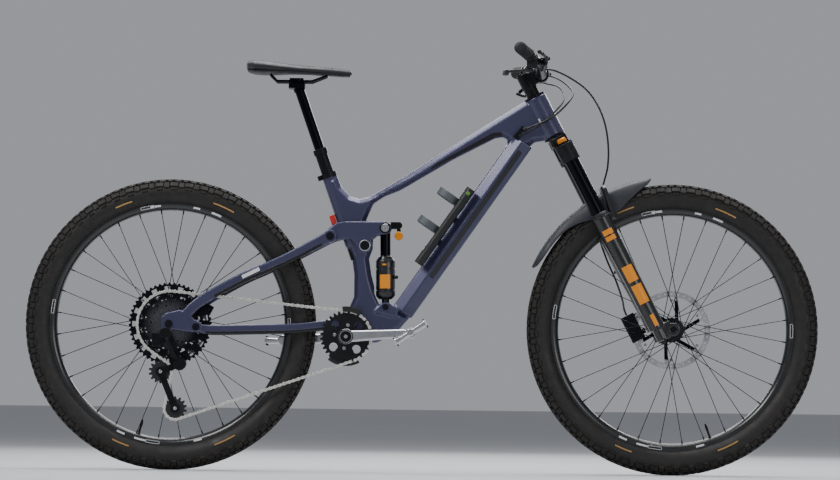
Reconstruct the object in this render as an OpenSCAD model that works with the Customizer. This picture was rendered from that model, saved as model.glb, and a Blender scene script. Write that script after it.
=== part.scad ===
// Full-suspension mountain bike: four-bar rear end, telescopic fork, dropper post, disc brakes.
// X points to the front wheel, Y to the left side, Z up. The origin is on the ground,
// midway between the axles and in the middle plane. All lengths are in millimetres.

/* [Wheels] */
// Outer radius of both tyres over the knobs
tyre_r = 375.5; // [372:0.5:376]
// Width of both tyres over the knobs
tyre_w = 62; // [56:1:63]
// Radius of the tyre's bead seat
bead_r = 311; // [309:1:312]
// Inner radius of the rims
rim_inner_r = 294; // [292:1:296]
// Outside width of the rims
rim_w = 35; // [30:1:36]
// Distance between the two axles
wheelbase = 1296; // [1294:1:1298]
// Radius of the front brake disc
front_disc_r = 101.5; // [90:0.5:101.5]
// Radius of the rear brake disc
rear_disc_r = 90; // [80:1:90]
// Spokes in each wheel
spoke_count = 32; // [28:4:32]

/* [Steering] */
// Angle of the head tube from the ground
head_angle = 62.5; // [62:0.1:63]
// Distance of the front axle ahead of the steering axis
fork_offset = 44; // [43:0.5:45]
// Radius of the fork's inner legs
stanchion_r = 19; // [17.5:0.5:19]
// Half distance between the fork's legs
leg_y = 66; // [65:0.5:67]
// How far the fork compresses
fork_travel = 155; // [100:5:155]
// Half width of the handlebar
bar_half = 390; // [370:5:395]

/* [Drive] */
// Length of each crank arm between its axes
crank_l = 168; // [165:1:170]
// Teeth on the chainring
ring_teeth = 32; // [30:2:32]
// Chain pitch
chain_pitch = 12.7; // [12.7]

/* [Seat] */
// Radius of the sliding seat post tube
post_r = 13; // [12.5:0.5:13.5]
// How far the seat post drops
post_travel = 155; // [100:1:155]

/* [Colours] */
// Paint of the frame
paint = "#5B5F93"; // color
// Fork and shock accent
accent = "#F2A81E"; // color

/* [Hidden] */
$fn = 48;

// Hard points of the bike as [X, Z] in the middle plane
rear_axle_p = [-wheelbase / 2, tyre_r];
front_axle_p = [wheelbase / 2, tyre_r];
crank_p = [-193, 348];
main_p = [-183, 389];
horst_p = [-578, 368];
link_rear_p = [-237.5, 607];
link_frame_p = [-148, 584];
shock_top_p = [-96, 630];
shock_low_p = [-93, 426];
cage_p = [-620, 273];
upper_pulley_p = [-671, 253];
lower_pulley_p = [-632, 158.5];
hanger_p = [-655, 352];

// Running clearance in radius, and the gap between parts that pass each other
run_gap = 0.05;
pass_gap = 0.3;

// Steering axis: its foot at axle height, its direction and its forward normal
steer_tilt = 90 - head_angle;
steer_foot = [
    front_axle_p[0] - fork_offset * cos(steer_tilt),
    front_axle_p[1] - fork_offset * sin(steer_tilt)
];
leg_x = 8;
seal_t = 343;
clamp_low_t = 505;
clamp_top_t = 556;
head_low_t = 584;
head_top_t = 697;
stem_low_t = 724;
stem_top_t = 764;
bar_t = 744;
bar_x = 40;
steerer_r = 14.3;

// Handlebar points of one side
bar_p1 = [301, 32, 1033.6];
bar_p2 = [293, 115, 1056];
bar_p3 = [243, bar_half, 1068.6];
bar_r = 11.1;
bar_clamp_r = 17.5;
grip_r = 15.5;

// Seat post axis: the point at the collar and its lean from vertical
post_p = [-268.5, 833.4];
post_lean = 19.4;
post_outer_r = 15.8;
post_in_frame = 300;
post_top_s = 173;
seat_cut_s = -66;
clamp_h = 12;

// Down tube's upper line: one point and its slope
down_p = [134.7, 730];
down_slope = 55.4;

// Shock: its lean, its length between bolts and the stroke
shock_v = shock_top_p - shock_low_p;
shock_l = norm(shock_v);
shock_lean = atan2(shock_v[0], shock_v[1]);
can_r = 25;
shaft_r = 13;

// Crank angle above the horizontal, and the pedal axes
crank_up = 3.6;
pedal_right_p = crank_p + crank_l * [cos(crank_up), sin(crank_up)];
pedal_left_p = crank_p - crank_l * [cos(crank_up), sin(crank_up)];
arm_y = 60;
arm_t = 14;
spindle_r = 14.5;
pedal_pin_r = 4;

// Chain line at the chainring and at the cassette
ring_y = -49;
sprocket_y = -32;
cogs = [10, 12, 14, 16, 18, 21, 24, 28, 32, 36, 42, 52];
cog_step = 3.65;
cog_t = 1.7;
first_cog_y = sprocket_y - cog_step * 10;
chain_lead = 24;
tooth_t = 1.6;
pulley_teeth = 14;

function pitch_r(teeth) = chain_pitch / (2 * sin(180 / teeth));
function at_y(p, y) = [p[0], y, p[1]];
function mirror_y(p) = [p[0], -p[1], p[2]];
function polar(c, r, a) = c + r * [cos(a), sin(a)];
function arc(c, r, from, to, n) = [for (i = [0:n]) polar(c, r, from + (to - from) * i / n)];

// ---- Building blocks ----

// Cylinder across the bike about point p = [X, Z], from y0 to y1
module cross(p, r, y0, y1) {
    translate([p[0], y1, p[1]]) rotate([90, 0, 0]) cylinder(h = y1 - y0, r = r);
}

// Outline in X and Z, thickened from y0 to y1
module plate(points, y0, y1) {
    translate([0, y1, 0]) rotate([90, 0, 0]) linear_extrude(height = y1 - y0) polygon(points);
}

// The same child on both sides of the middle plane
module both_sides() {
    children();
    mirror([0, 1, 0]) children();
}

// Places children in the steering axis frame: x forward, z up along the axis
module steer() {
    translate([steer_foot[0], 0, steer_foot[1]]) rotate([0, -steer_tilt, 0]) children();
}

// Places children on the seat post axis, z up along it, zero at the collar
module post() {
    translate([post_p[0], 0, post_p[1]]) rotate([0, -post_lean, 0]) children();
}

// Places children on the down tube's upper line, x up along the tube, z off its top
module on_down_tube() {
    translate([down_p[0], 0, down_p[1]]) rotate([0, -down_slope, 0]) children();
}

// Places children on the shock's axis, z up along it from the lower bolt
module shock() {
    translate([shock_low_p[0], 0, shock_low_p[1]]) rotate([0, shock_lean, 0]) children();
}

// Round rod between two points, with its own radius at each end
module rod(a, b, r1, r2) {
    d = b - a;
    flat = norm([d[0], d[1]]);
    translate(a) rotate([0, atan2(flat, d[2]), atan2(d[1], d[0])])
        cylinder(h = norm(d), r1 = r1, r2 = r2);
}

// Eight-sided bar between two points, w wide across the bike and h deep
module bar(a, b, w, h) {
    d = b - a;
    c = min(w, h) * 0.26;
    flat = norm([d[0], d[1]]);
    translate(a) rotate([0, -atan2(d[2], flat), atan2(d[1], d[0])]) rotate([90, 0, 90])
        linear_extrude(height = norm(d)) polygon([
            [-w / 2, -h / 2 + c], [-w / 2 + c, -h / 2], [w / 2 - c, -h / 2], [w / 2, -h / 2 + c],
            [w / 2, h / 2 - c], [w / 2 - c, h / 2], [-w / 2 + c, h / 2], [-w / 2, h / 2 - c]
        ]);
}

// Bars through a list of points, joined by balls
module bar_path(points, w, h) {
    for (i = [0:len(points) - 2]) bar(points[i], points[i + 1], w, h);
    for (i = [1:len(points) - 2]) translate(points[i]) sphere(r = w * 0.56);
}

// Ring or disc that turns about the Y axis at p, from an outline of [radius, y]
module turned(p, outline) {
    translate([p[0], 0, p[1]]) rotate([90, 0, 0]) mirror([0, 0, 1])
        rotate_extrude($fn = 96) polygon(outline);
}

// Toothed wheel about the Y axis
module toothed(p, teeth, y, thick, bore) {
    root = pitch_r(teeth) - 4.6;
    tip = pitch_r(teeth) + 2.4;
    step = 360 / teeth;
    outline = [
        for (i = [0:teeth - 1], k = [0:3])
            polar([0, 0], k == 0 || k == 3 ? root : tip, (i + [0.12, 0.36, 0.64, 0.88][k]) * step)
    ];
    difference() {
        translate([p[0], y + thick / 2, p[1]]) rotate([90, 0, 0])
            linear_extrude(height = thick) polygon(outline);
        cross(p, bore, y - thick, y + thick);
    }
}

// Round hose swept along points; every ring is squared to the path
function cut3(a, b) = cross(a, b) / norm(cross(a, b));
function path_dir(p, i) =
    let (a = p[max(0, i - 1)], b = p[min(len(p) - 1, i + 1)]) (b - a) / norm(b - a);
module hose(points, r) {
    n = 8;
    last = len(points) - 1;
    rings = [for (i = [0:last]) let (
        d = path_dir(points, i), u = cut3(d, [0.31, 0.94, 0.11]), v = cut3(d, u)
    ) [for (k = [0:n - 1]) points[i] + r * (u * cos(360 * k / n) + v * sin(360 * k / n))]];
    all = [for (g = rings, q = g) q];
    walls = [for (i = [0:last - 1], k = [0:n - 1])
        [i * n + k, i * n + (k + 1) % n, (i + 1) * n + (k + 1) % n, (i + 1) * n + k]];
    low = [for (k = [0:n - 1]) n - 1 - k];
    high = [for (k = [0:n - 1]) last * n + k];
    polyhedron(points = all, faces = concat([low], walls, [high]));
}

// Smooth curve through hand-set points, with parts pieces between each pair
function bend(p, i, t) = let (
    a = p[max(0, i - 1)], b = p[i], c = p[i + 1], d = p[min(len(p) - 1, i + 2)]
) 0.5 * (2 * b + (c - a) * t + (2 * a - 5 * b + 4 * c - d) * t * t
    + (3 * b - a - 3 * c + d) * t * t * t);
function smooth(p, parts) = concat(
    [for (i = [0:len(p) - 2], k = [0:parts - 1]) bend(p, i, k / parts)], [p[len(p) - 1]]);

// ---- Frame ----

seat_web = [
    [-249, 751], [-222, 656], [-199, 594], [-181, 550], [-175, 511], [-175, 452],
    [-185, 428], [-200, 395], [-216, 350], [-190, 326], [-112, 334], [-62, 362],
    [-30, 399], [-72, 430], [-104, 436], [-121, 472], [-131, 511], [-137, 551], [-128, 575],
    [-127, 600], [-140, 625], [-146, 650], [-127, 693], [-98, 712], [-58, 728],
    [-41, 769], [-120, 721], [-139, 711], [-163, 705], [-187, 712], [-211, 736],
    [-225, 771]
];
head_web = [
    [150, 893], [262, 963], [290, 969], [338, 874], [314, 861], [287, 856],
    [258, 829], [228, 790], [205, 754], [186, 800], [234, 879]
];
top_line = [[-58, 728], [-41, 769], [77, 846], [194, 920], [262, 963], [234, 886], [194, 877], [77, 810]];

// Painted main frame: head tube, top tube, down tube, seat tube and bearing housings
module front_triangle() {
    color(paint) difference() {
        union() {
            plate(seat_web, -20, 20);
            plate(head_web, -24, 24);
            plate(top_line, -21, 21);
            on_down_tube() bar([-366, 0, -28.3], [176, 0, -28.3], 60, 56.6);
            steer() translate([0, 0, head_low_t]) cylinder(h = head_top_t - head_low_t, r = 29);
            post() translate([0, 0, -post_in_frame - 4]) cylinder(h = post_in_frame + 4 + seat_cut_s, r = 18);
            cross(crank_p, 23, -36.5, 36.5);
            cross(main_p, 20, -24.5, 24.5);
            cross(link_frame_p, 17, -23.5, 23.5);
            both_sides() plate([[-126, 412], [-104, 438], [-82, 438], [-60, 418], [-60, 396]], 16, 25);
        }
        steer() translate([0, 0, head_low_t - 20]) cylinder(h = head_top_t - head_low_t + 40, r = 22);
        post() translate([0, 0, -post_in_frame - 1]) cylinder(h = post_in_frame + 1, r = post_outer_r + run_gap);
        post() translate([0, 0, seat_cut_s]) cylinder(h = 60, r = 40);
        post() difference() {
            translate([0, 0, seat_cut_s - clamp_h - pass_gap]) cylinder(h = 60, r = 40);
            translate([0, 0, seat_cut_s - 40]) cylinder(h = 100, r = 18);
        }
        steer() translate([-60, -40, head_top_t]) cube([120, 80, 40]);
        cross(crank_p, 18.5, -40, 40);
        cross(main_p, 7.5, -30, 30);
        cross(link_frame_p, 7.5, -30, 30);
        cross(shock_low_p, 5, -30, 30);
        shock() translate([-29, -15.6, -17]) cube([58, 31.2, 120]);
        shock() translate([0, 0, 16]) cylinder(h = 130, r = can_r + 1.2);
    }
}

// Bearing cups pressed into the head tube
module headset_cups() {
    color("#23252B") for (end = [0, 1]) steer() difference() {
        union() {
            translate([0, 0, end ? head_top_t : head_low_t - 4.4]) cylinder(h = 4.4, r = 28.5);
            translate([0, 0, end ? head_top_t - 14 : head_low_t]) cylinder(h = 14, r = 22);
        }
        translate([0, 0, head_low_t - 30]) cylinder(h = 200, r = steerer_r + run_gap);
    }
}

// Cups of the crank bearings
module bottom_bracket() {
    color("#2A2B30") both_sides() difference() {
        union() {
            cross(crank_p, 22, 36.5, 42);
            cross(crank_p, 18.5, 20, 36.5);
        }
        cross(crank_p, spindle_r + run_gap, 10, 50);
    }
}

// Fixed tube of the dropper post with its collar
module dropper_outer() {
    color("#17181C") post() difference() {
        union() {
            translate([0, 0, -post_in_frame]) cylinder(h = post_in_frame, r = post_outer_r);
            translate([0, 0, seat_cut_s + 0.2]) cylinder(h = -seat_cut_s - 14, r = 16.2);
            translate([0, 0, -14]) cylinder(h = 14, r = 18.5);
        }
        translate([0, 0, -post_in_frame + 4]) cylinder(h = post_in_frame, r = post_r + run_gap);
    }
}

// Pivot axles, shock bolt, seat clamp and cable port on the main frame
module frame_hardware() {
    color("#B9BCC4") {
        cross(main_p, 7.5, -37.6, 37.6);
        both_sides() cross(main_p, 11, 37.6, 39.6);
        cross(link_frame_p, 7.5, -35, 35);
        both_sides() cross(link_frame_p, 12, 35, 37.5);
        cross(shock_low_p, 5, -26, 26);
        both_sides() cross(shock_low_p, 8, 25.2, 28);
    }
    color("#17181C") post() difference() {
        union() {
            translate([0, 0, seat_cut_s - clamp_h]) cylinder(h = clamp_h, r = 22);
            translate([-29, -9, seat_cut_s - clamp_h]) cube([10, 18, clamp_h]);
        }
        translate([0, 0, seat_cut_s - 20]) cylinder(h = 40, r = 18.05);
        translate([-40, -1, seat_cut_s - 13]) cube([30, 2, 14]);
    }
    color("#17181C") plate([[238, 864], [262, 892], [256, 898], [232, 870]], -33, -24.1);
}

// Upper chain guide and lower bash plate
module chain_guide() {
    guide = concat(arc(crank_p, 78, 58, 98, 6), arc(crank_p, 73.5, 98, 58, 6));
    back = concat(arc(crank_p, 78, 58, 98, 6), arc(crank_p, 26, 98, 58, 6));
    lip = concat(arc(crank_p, 78, 58, 98, 6), arc(crank_p, 64, 98, 58, 6));
    color("#1B1C20") {
        plate(guide, -56, -43);
        plate(back, -44.2, -42.2);
        plate(lip, -57, -55);
        plate(concat(arc(crank_p, 76, -128, -62, 8), arc(crank_p, 26, -62, -128, 8)), -44.2, -42.2);
    }
}

// Bottle cage: base along the down tube and two hugging arms
module bottle_cage() {
    color("#8E939C") on_down_tube() {
        difference() {
            translate([-190, -12, 0.2]) cube([170, 24, 5]);
            for (x = [-137, -73]) translate([x, 0, -1]) cylinder(h = 10, r = 2.6);
        }
        for (x = [-150, -62]) translate([x, 0, 45]) rotate([0, 90, 0]) difference() {
            cylinder(h = 20, r = 39.5);
            translate([0, 0, -1]) cylinder(h = 22, r = 36.5);
            translate([-60, -22, -1]) cube([40, 44, 22]);
        }
        translate([-194, -14, 0.2]) cube([6, 28, 22]);
    }
    color("#B9BCC4") on_down_tube() for (x = [-137, -73]) translate([x, 0, 5.3]) cylinder(h = 3, r = 4.5);
}

// Hand pump beside the bottle cage, on a bracket
pump_y = -42;
pump_z = 9;
module mini_pump() {
    color("#1A1B1F") on_down_tube() {
        translate([-240, pump_y, pump_z]) rotate([0, 90, 0]) cylinder(h = 236, r = 11);
        for (x = [-240, -40]) translate([x, pump_y, pump_z]) rotate([0, 90, 0]) cylinder(h = 36, r = 12.5);
        for (x = [-170, -100]) difference() {
            translate([x, pump_y, 0.4]) cube([16, -pump_y - 12.3, 4.2]);
            translate([x - 1, pump_y, pump_z]) rotate([0, 90, 0]) cylinder(h = 20, r = 10.5);
        }
    }
}

// Small rear light strapped to the seat tube
module rear_light() {
    color("#C8322E") post() translate([-33, -9, -198]) cube([14.8, 18, 26]);
}

// ---- Fork and steering ----

// Fork crown with the steerer tube
module fork_crown() {
    color("#191A1E") steer() difference() {
        union() {
            both_sides() translate([leg_x, leg_y, clamp_low_t]) cylinder(h = clamp_top_t - clamp_low_t, r = 25);
            translate([-20, -66, 556.5]) cube([46, 132, 21.5]);
            both_sides() translate([-17, 43, 520]) cube([40, 16, 40]);
            translate([0, 0, 577]) cylinder(h = 2.2, r = 20);
            translate([0, 0, 560]) cylinder(h = 202, r = steerer_r);
        }
        both_sides() translate([leg_x, leg_y, clamp_low_t - 5]) cylinder(h = 70, r = stanchion_r);
        both_sides() translate([leg_x, leg_y, 552]) cylinder(h = 40, r = 23);
        both_sides() translate([-30, 80, 552]) cube([70, 40, 40]);
    }
}

// Fork inner legs
module stanchions() {
    color("#101115") steer() both_sides() difference() {
        translate([leg_x, leg_y, 200]) cylinder(h = 354, r = stanchion_r);
        translate([leg_x, leg_y, 190]) cylinder(h = 350, r = 16.5);
    }
}

// Stem, its bolts, the spacers below it and the top cap
module stem() {
    color("#1B1C20") difference() {
        steer() difference() {
            union() {
                translate([0, 0, stem_low_t]) cylinder(h = stem_top_t - stem_low_t, r = 19);
                translate([0, -17, bar_t - 17]) cube([bar_x, 34, 34]);
                translate([bar_x, 27, bar_t]) rotate([90, 0, 0]) cylinder(h = 54, r = 22);
            }
            translate([0, 0, stem_low_t - 5]) cylinder(h = 60, r = steerer_r + 0.02);
        }
        rod(mirror_y(bar_p1), bar_p1, bar_clamp_r + run_gap, bar_clamp_r + run_gap);
    }
    color("#2A2B30") steer() {
        for (k = [0:2]) translate([0, 0, head_top_t + 4.7 + 7.4 * k]) difference() {
            cylinder(h = 7.3, r = 18);
            translate([0, 0, -1]) cylinder(h = 12, r = steerer_r + 0.02);
        }
        translate([0, 0, stem_top_t + 0.2]) cylinder(h = 3.5, r = 17);
    }
    color("#B9BCC4") steer() for (y = [-19, 19], z = [-18, 18])
        translate([bar_x + 22.2, y, bar_t + z * 0.6]) rotate([0, 90, 0]) cylinder(h = 3, r = 3.5);
}

// Riser handlebar
module handlebar() {
    color("#141519") {
        rod(mirror_y(bar_p1), bar_p1, bar_clamp_r, bar_clamp_r);
        both_sides() {
            translate(bar_p1) sphere(r = bar_clamp_r + 0.1);
            rod(bar_p1, bar_p2, bar_clamp_r, bar_r);
            translate(bar_p2) sphere(r = bar_r + 0.3);
            rod(bar_p2, bar_p3, bar_r, bar_r);
        }
    }
}

bar_v = (bar_p3 - bar_p2) / norm(bar_p3 - bar_p2);
function on_bar(y) = bar_p2 + bar_v * (y - bar_p2[1]) / bar_v[1];

// Rubber grips with lock rings and end plugs
module grips() {
    color("#202124") both_sides() difference() {
        rod(on_bar(258), bar_p3 + 1.5 * bar_v, grip_r, grip_r);
        rod(on_bar(250), bar_p3, bar_r + 0.02, bar_r + 0.02);
    }
    color("#2E3036") both_sides() difference() {
        rod(on_bar(249), on_bar(257.8), 17, 17);
        rod(on_bar(245), on_bar(262), bar_r + 0.02, bar_r + 0.02);
    }
}

// Brake master cylinders, with the clamps that hold them
module brake_bodies() {
    color("#1D1F24") both_sides() {
        difference() {
            rod(on_bar(202), on_bar(216), 16, 16);
            rod(on_bar(190), on_bar(230), bar_r + 0.02, bar_r + 0.02);
        }
        difference() {
            union() {
                rod([303, 128, 1040], [307, 214, 1047], 9.5, 9.5);
                rod([307, 214, 1047], [310, 236, 1049], 8, 8);
                bar([283, 209, 1056], [304, 209, 1047], 10, 14);
            }
            rod(on_bar(190), on_bar(230), bar_r + 0.5, bar_r + 0.5);
            translate([296, 218.5, 1030]) cube([40, 23, 40]);
        }
        translate([309, 226, 1039]) cylinder(h = 3, r = 6);
        translate([309, 226, 1054.6]) cylinder(h = 3, r = 6);
        translate([309, 226, 1041]) cylinder(h = 15, r = 2.5);
        translate([297, 217, 1039]) cube([6, 14, 3]);
        translate([297, 217, 1054.6]) cube([6, 14, 3]);
    }
}

// Blade of one brake lever, drawn for the left side
module lever_blade() {
    difference() {
        union() {
            translate([309, 226, 1042.4]) cylinder(h = 11.8, r = 6.4);
            bar([309, 226, 1048.3], [316, 262, 1053], 9, 9);
            translate([316, 262, 1053]) sphere(r = 5.6);
            bar([316, 262, 1053], [300, 318, 1060], 8, 8);
            translate([300, 318, 1060]) sphere(r = 5);
            bar([300, 318, 1060], [292, 340, 1063], 7, 8);
            translate([292, 340, 1063]) sphere(r = 5.5);
        }
        translate([309, 226, 1030]) cylinder(h = 40, r = 2.5 + run_gap);
    }
}
module brake_lever_left() { color("#8F949C") lever_blade(); }
module brake_lever_right() { color("#8F949C") mirror([0, 1, 0]) lever_blade(); }

// Shift controller on the right and dropper remote on the left
module control_mounts() {
    color("#1D1F24") {
        difference() {
            union() {
                rod(mirror_y(on_bar(226)), mirror_y(on_bar(236)), 15, 15);
                translate([262, -244, 1030]) cube([28, 20, 24]);
            }
            rod(mirror_y(on_bar(215)), mirror_y(on_bar(250)), bar_r + 0.02, bar_r + 0.02);
            translate([270, -234, 1020]) cylinder(h = 20, r = 4 + run_gap);
        }
        difference() {
            union() {
                rod(on_bar(184), on_bar(194), 15, 15);
                translate([266, 176, 1030]) cube([26, 22, 24]);
            }
            rod(on_bar(170), on_bar(205), bar_r + 0.02, bar_r + 0.02);
            translate([276, 189, 1020]) cylinder(h = 20, r = 4 + run_gap);
        }
    }
}

// Rocker paddle that shifts the gears
module shift_paddle() {
    color("#24262B") {
        translate([270, -234, 1021]) cylinder(h = 18, r = 4);
        translate([270, -234, 1021]) cylinder(h = 8, r = 9);
        bar([266, -236, 1026], [212, -252, 1020], 18, 7);
        translate([207, -258, 1012]) rotate([0, 10, 15]) cube([10, 26, 12]);
    }
}

// Thumb lever of the dropper post
module dropper_lever() {
    color("#24262B") {
        translate([276, 189, 1021]) cylinder(h = 18, r = 4);
        translate([276, 189, 1021]) cylinder(h = 8, r = 9);
        bar([276, 189, 1025], [250, 214, 1004], 9, 8);
        translate([240, 204, 996]) rotate([0, 20, -30]) cube([20, 22, 7]);
    }
}

// Damper adjuster on top of the right fork leg
module fork_knob() {
    color(accent) steer() difference() {
        translate([leg_x, -leg_y, 557]) cylinder(h = 12, r = 12);
        translate([leg_x, -leg_y, 550]) cylinder(h = 30, r = 4 + run_gap);
    }
}

// Fork outer legs with the arch and the axle ends
module fork_lowers() {
    color("#17181C") steer() difference() {
        union() {
            both_sides() {
                translate([leg_x, leg_y, 20]) cylinder(h = seal_t - 20, r1 = 21.5, r2 = 24);
                translate([leg_x, leg_y, -12]) cylinder(h = 34, r = 15);
                translate([fork_offset, 79, 0]) rotate([90, 0, 0]) cylinder(h = 24, r = 17);
                translate([leg_x + 4, 56, -14]) cube([fork_offset - leg_x - 4, 22, 40]);
                bar([37, 60, 322], [50, 50, 402], 13, 15);
                translate([50, 50, 402]) sphere(r = 7.5);
            }
            bar([50, -50, 406.5], [50, 50, 406.5], 16, 13);
        }
        both_sides() translate([leg_x, leg_y, 40]) cylinder(h = 400, r = stanchion_r + run_gap);
        translate([fork_offset, 100, 0]) rotate([90, 0, 0]) cylinder(h = 200, r = 7.5);
    }
}

// Top caps, rebound knobs and hose guides of the fork
module fork_hardware() {
    color(accent) steer() translate([leg_x, -leg_y, -23]) cylinder(h = 8.8, r = 8);
    color("#B9BCC4") steer() translate([leg_x, leg_y, -18]) cylinder(h = 3.8, r = 7);
    color("#222429") steer() {
        rod([-6.2, 86.6, 300], [-8, 89.2, 300], 4, 4);
        rod([-15, 73.8, 200], [-18.4, 75, 200], 4, 4);
    }
}

// Front through axle with its head
module front_axle() {
    color("#26282D") steer() {
        translate([fork_offset, 84, 0]) rotate([90, 0, 0]) cylinder(h = 5, r = 10);
        translate([fork_offset, 79, 0]) rotate([90, 0, 0]) cylinder(h = 158, r = 7.45);
    }
}

// Front brake caliper around the disc
module front_caliper() {
    color("#22252B") steer() difference() {
        union() {
            translate([-60, 29, 14]) cube([36, 24, 72]);
            translate([-30, 44, 24]) cube([14.5, 10, 14]);
            translate([-30, 44, 68]) cube([14.5, 10, 14]);
        }
        translate([fork_offset, 43.3, 0]) rotate([90, 0, 0]) cylinder(h = 4.5, r = front_disc_r + 1.5);
        translate([leg_x, leg_y, 0]) cylinder(h = 100, r = 23.4);
    }
}

// Curved mudguard over the front tyre
guard_r = 396.5;
module mudguard() {
    outline = [
        [guard_r - 16, -37], [guard_r - 4, -34], [guard_r + 0.8, -22], [guard_r + 1, 0],
        [guard_r + 0.8, 22], [guard_r - 4, 34], [guard_r - 16, 37], [guard_r - 16, 35.4],
        [guard_r - 5.4, 32.4], [guard_r - 1, 21], [guard_r - 1, 0], [guard_r - 1, -21],
        [guard_r - 5.4, -32.4], [guard_r - 16, -35.4]
    ];
    far = 600;
    color("#3E454E") intersection() {
        turned(front_axle_p, outline);
        plate([
            front_axle_p, polar(front_axle_p, far, 98), polar(front_axle_p, far, 117),
            polar(front_axle_p, far, 136), polar(front_axle_p, far, 157)
        ], -60, 60);
    }
}

// ---- Wheels ----

// Hollow tyre outline as [radius, y]; the shoulders bulge as a circle
function tyre_outline() = let (
    mid = 343.5, bulge = tyre_w / 2,
    outer = [for (a = [-52:13:52]) [mid + 30.6 * sin(a), bulge * cos(a)]],
    inner = [for (a = [56:-14:-56]) [mid + 26.4 * sin(a), (bulge - 5) * cos(a)]]
) concat(
    [[bead_r - 1, 14.6], [bead_r + 7, 14.8]], outer, [[tyre_r, 16]], [[tyre_r, -16]],
    [for (i = [len(outer) - 1:-1:0]) [outer[i][0], -outer[i][1]]],
    [[bead_r + 7, -14.8], [bead_r - 1, -14.6], [bead_r - 1, -10.6], [bead_r + 7, -11]],
    [for (i = [len(inner) - 1:-1:0]) [inner[i][0], -inner[i][1]]],
    inner, [[bead_r + 7, 11], [bead_r - 1, 10.6]]
);
module tyre(p) { color("#2B2624") turned(p, tyre_outline()); }
module front_tyre() { tyre(front_axle_p); }
module rear_tyre() { tyre(rear_axle_p); }

// Box-section rim with hooked edges, and its valve
module rim(p, valve_angle) {
    half = rim_w / 2;
    low = rim_inner_r;
    outline = [
        [low, -half + 7], [low + 6, -half], [bead_r + 7, -half], [bead_r + 7, -half + 2.4],
        [bead_r - 1.4, -half + 2.4], [bead_r - 1.4, -7], [bead_r - 4, -5], [bead_r - 4, 5],
        [bead_r - 1.4, 7], [bead_r - 1.4, half - 2.4], [bead_r + 7, half - 2.4],
        [bead_r + 7, half], [low + 6, half], [low, half - 7]
    ];
    color("#16171B") turned(p, outline);
    color("#3A3C42") translate([p[0], 0, p[1]]) rotate([0, -valve_angle, 0])
        translate([low - 42, 0, 0]) rotate([0, 90, 0]) cylinder(h = 41.5, r = 3);
}
module front_rim() { rim(front_axle_p, -78); }
module rear_rim() { rim(rear_axle_p, -104); }

// Crossed spokes between two hub flanges and the rim
spoke_r = 0.9;
flange_r = 27;
module spokes(p, flange_right, flange_left) {
    step = 360 / spoke_count;
    color("#1B1C20") translate([p[0], 0, p[1]]) for (i = [0:spoke_count - 1]) {
        left = i % 2;
        lead = floor(i / 2) % 2 ? 1 : -1;
        rim_a = (i + 0.5) * step;
        hub_a = rim_a + lead * 62;
        hub_y = (left ? flange_left : flange_right) + (lead > 0 ? 3.4 : -3.4);
        inner = polar([0, 0], flange_r, hub_a);
        outer = polar([0, 0], rim_inner_r - 0.1, rim_a);
        rod(at_y(inner, hub_y), at_y(outer, left ? 3 : -3), spoke_r, spoke_r);
    }
}
module front_spokes() { spokes(front_axle_p, -35, 26); }
module rear_spokes() { spokes(rear_axle_p, -16, 38); }

// Hub shells with spoke flanges
module front_hub() {
    color("#1E2025") difference() {
        union() {
            turned(front_axle_p, [
                [2, -54.6], [12, -54.6], [12, -46], [18, -44], [20, -38], [29.5, -36.6],
                [29.5, -33.4], [18, -31], [15, -12], [15, 6], [19, 22], [29.5, 24.4],
                [29.5, 27.6], [20, 29], [20, 38.8], [12, 38.8], [12, 54.6], [2, 54.6]
            ]);
        }
        cross(front_axle_p, 7.5 + run_gap, -60, 60);
    }
}
module rear_hub() {
    color("#1E2025") difference() {
        turned(rear_axle_p, [
            [2, -73.6], [11, -73.6], [11, -70.4], [13, -69.6], [13, -27], [24, -24], [24, -19],
            [29.5, -17.6], [29.5, -14.4], [19, -12], [17, 0], [19, 34], [29.5, 36.4],
            [29.5, 39.6], [21, 41], [21, 57.4], [12, 57.4], [12, 73.6], [2, 73.6]
        ]);
        cross(rear_axle_p, 6 + run_gap, -80, 80);
    }
}

// Brake disc: braking ring, arms and carrier
module disc(p, r, y, bore) {
    difference() {
        union() {
            turned(p, [[r - 15, y - 0.9], [r, y - 0.9], [r, y + 0.9], [r - 15, y + 0.9]]);
            turned(p, [[bore, y - 1.5], [bore + 12, y - 1.5], [bore + 12, y + 1.5], [bore, y + 1.5]]);
            for (i = [0:5]) bar(
                at_y(polar(p, bore + 8, 60 * i), y), at_y(polar(p, r - 13, 60 * i + 22), y), 1.8, 9);
        }
        for (i = [0:35]) cross(polar(p, r - 7.5, 10 * i), 2.4, y - 3, y + 3);
    }
}
module front_rotor() { color("#B4B7BE") disc(front_axle_p, front_disc_r, 40.3, 20.05); }
module rear_rotor() { color("#B4B7BE") disc(rear_axle_p, rear_disc_r, 58.9, 12.05); }

// Twelve sprockets on one sleeve
module cassette() {
    color("#3B3D43") {
        for (i = [0:len(cogs) - 1])
            toothed(rear_axle_p, cogs[i], first_cog_y + cog_step * i, cog_t, 13 + run_gap);
        difference() {
            cross(rear_axle_p, 15, -69.4, -27.2);
            cross(rear_axle_p, 13 + run_gap, -75, -20);
        }
    }
}

// ---- Rear suspension ----

// Chainstay pair with its yoke; the ears turn on the main pivot
module chainstay() {
    color(paint) difference() {
        union() {
            both_sides() {
                cross(main_p, 15.5, 25, 36);
                bar_path([
                    [main_p[0], 31, main_p[1]], [-250, 38, 377], [-340, 46, 368],
                    [-545, 65, 362], at_y(horst_p, 68.6)
                ], 10, 21);
                cross(horst_p, 14, 63.6, 73.6);
            }
            plate([[-224, 374], [-224, 394], [-254, 388], [-254, 366]], -36, 36);
        }
        both_sides() cross(main_p, 7.5 + run_gap, 20, 40);
        both_sides() cross(horst_p, 6 + run_gap, 50, 90);
        cross(crank_p, 23.5, -36.8, 36.8);
        both_sides() translate([-170, 20, 340]) cube([60, 30, 100]);
    }
}

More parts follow.
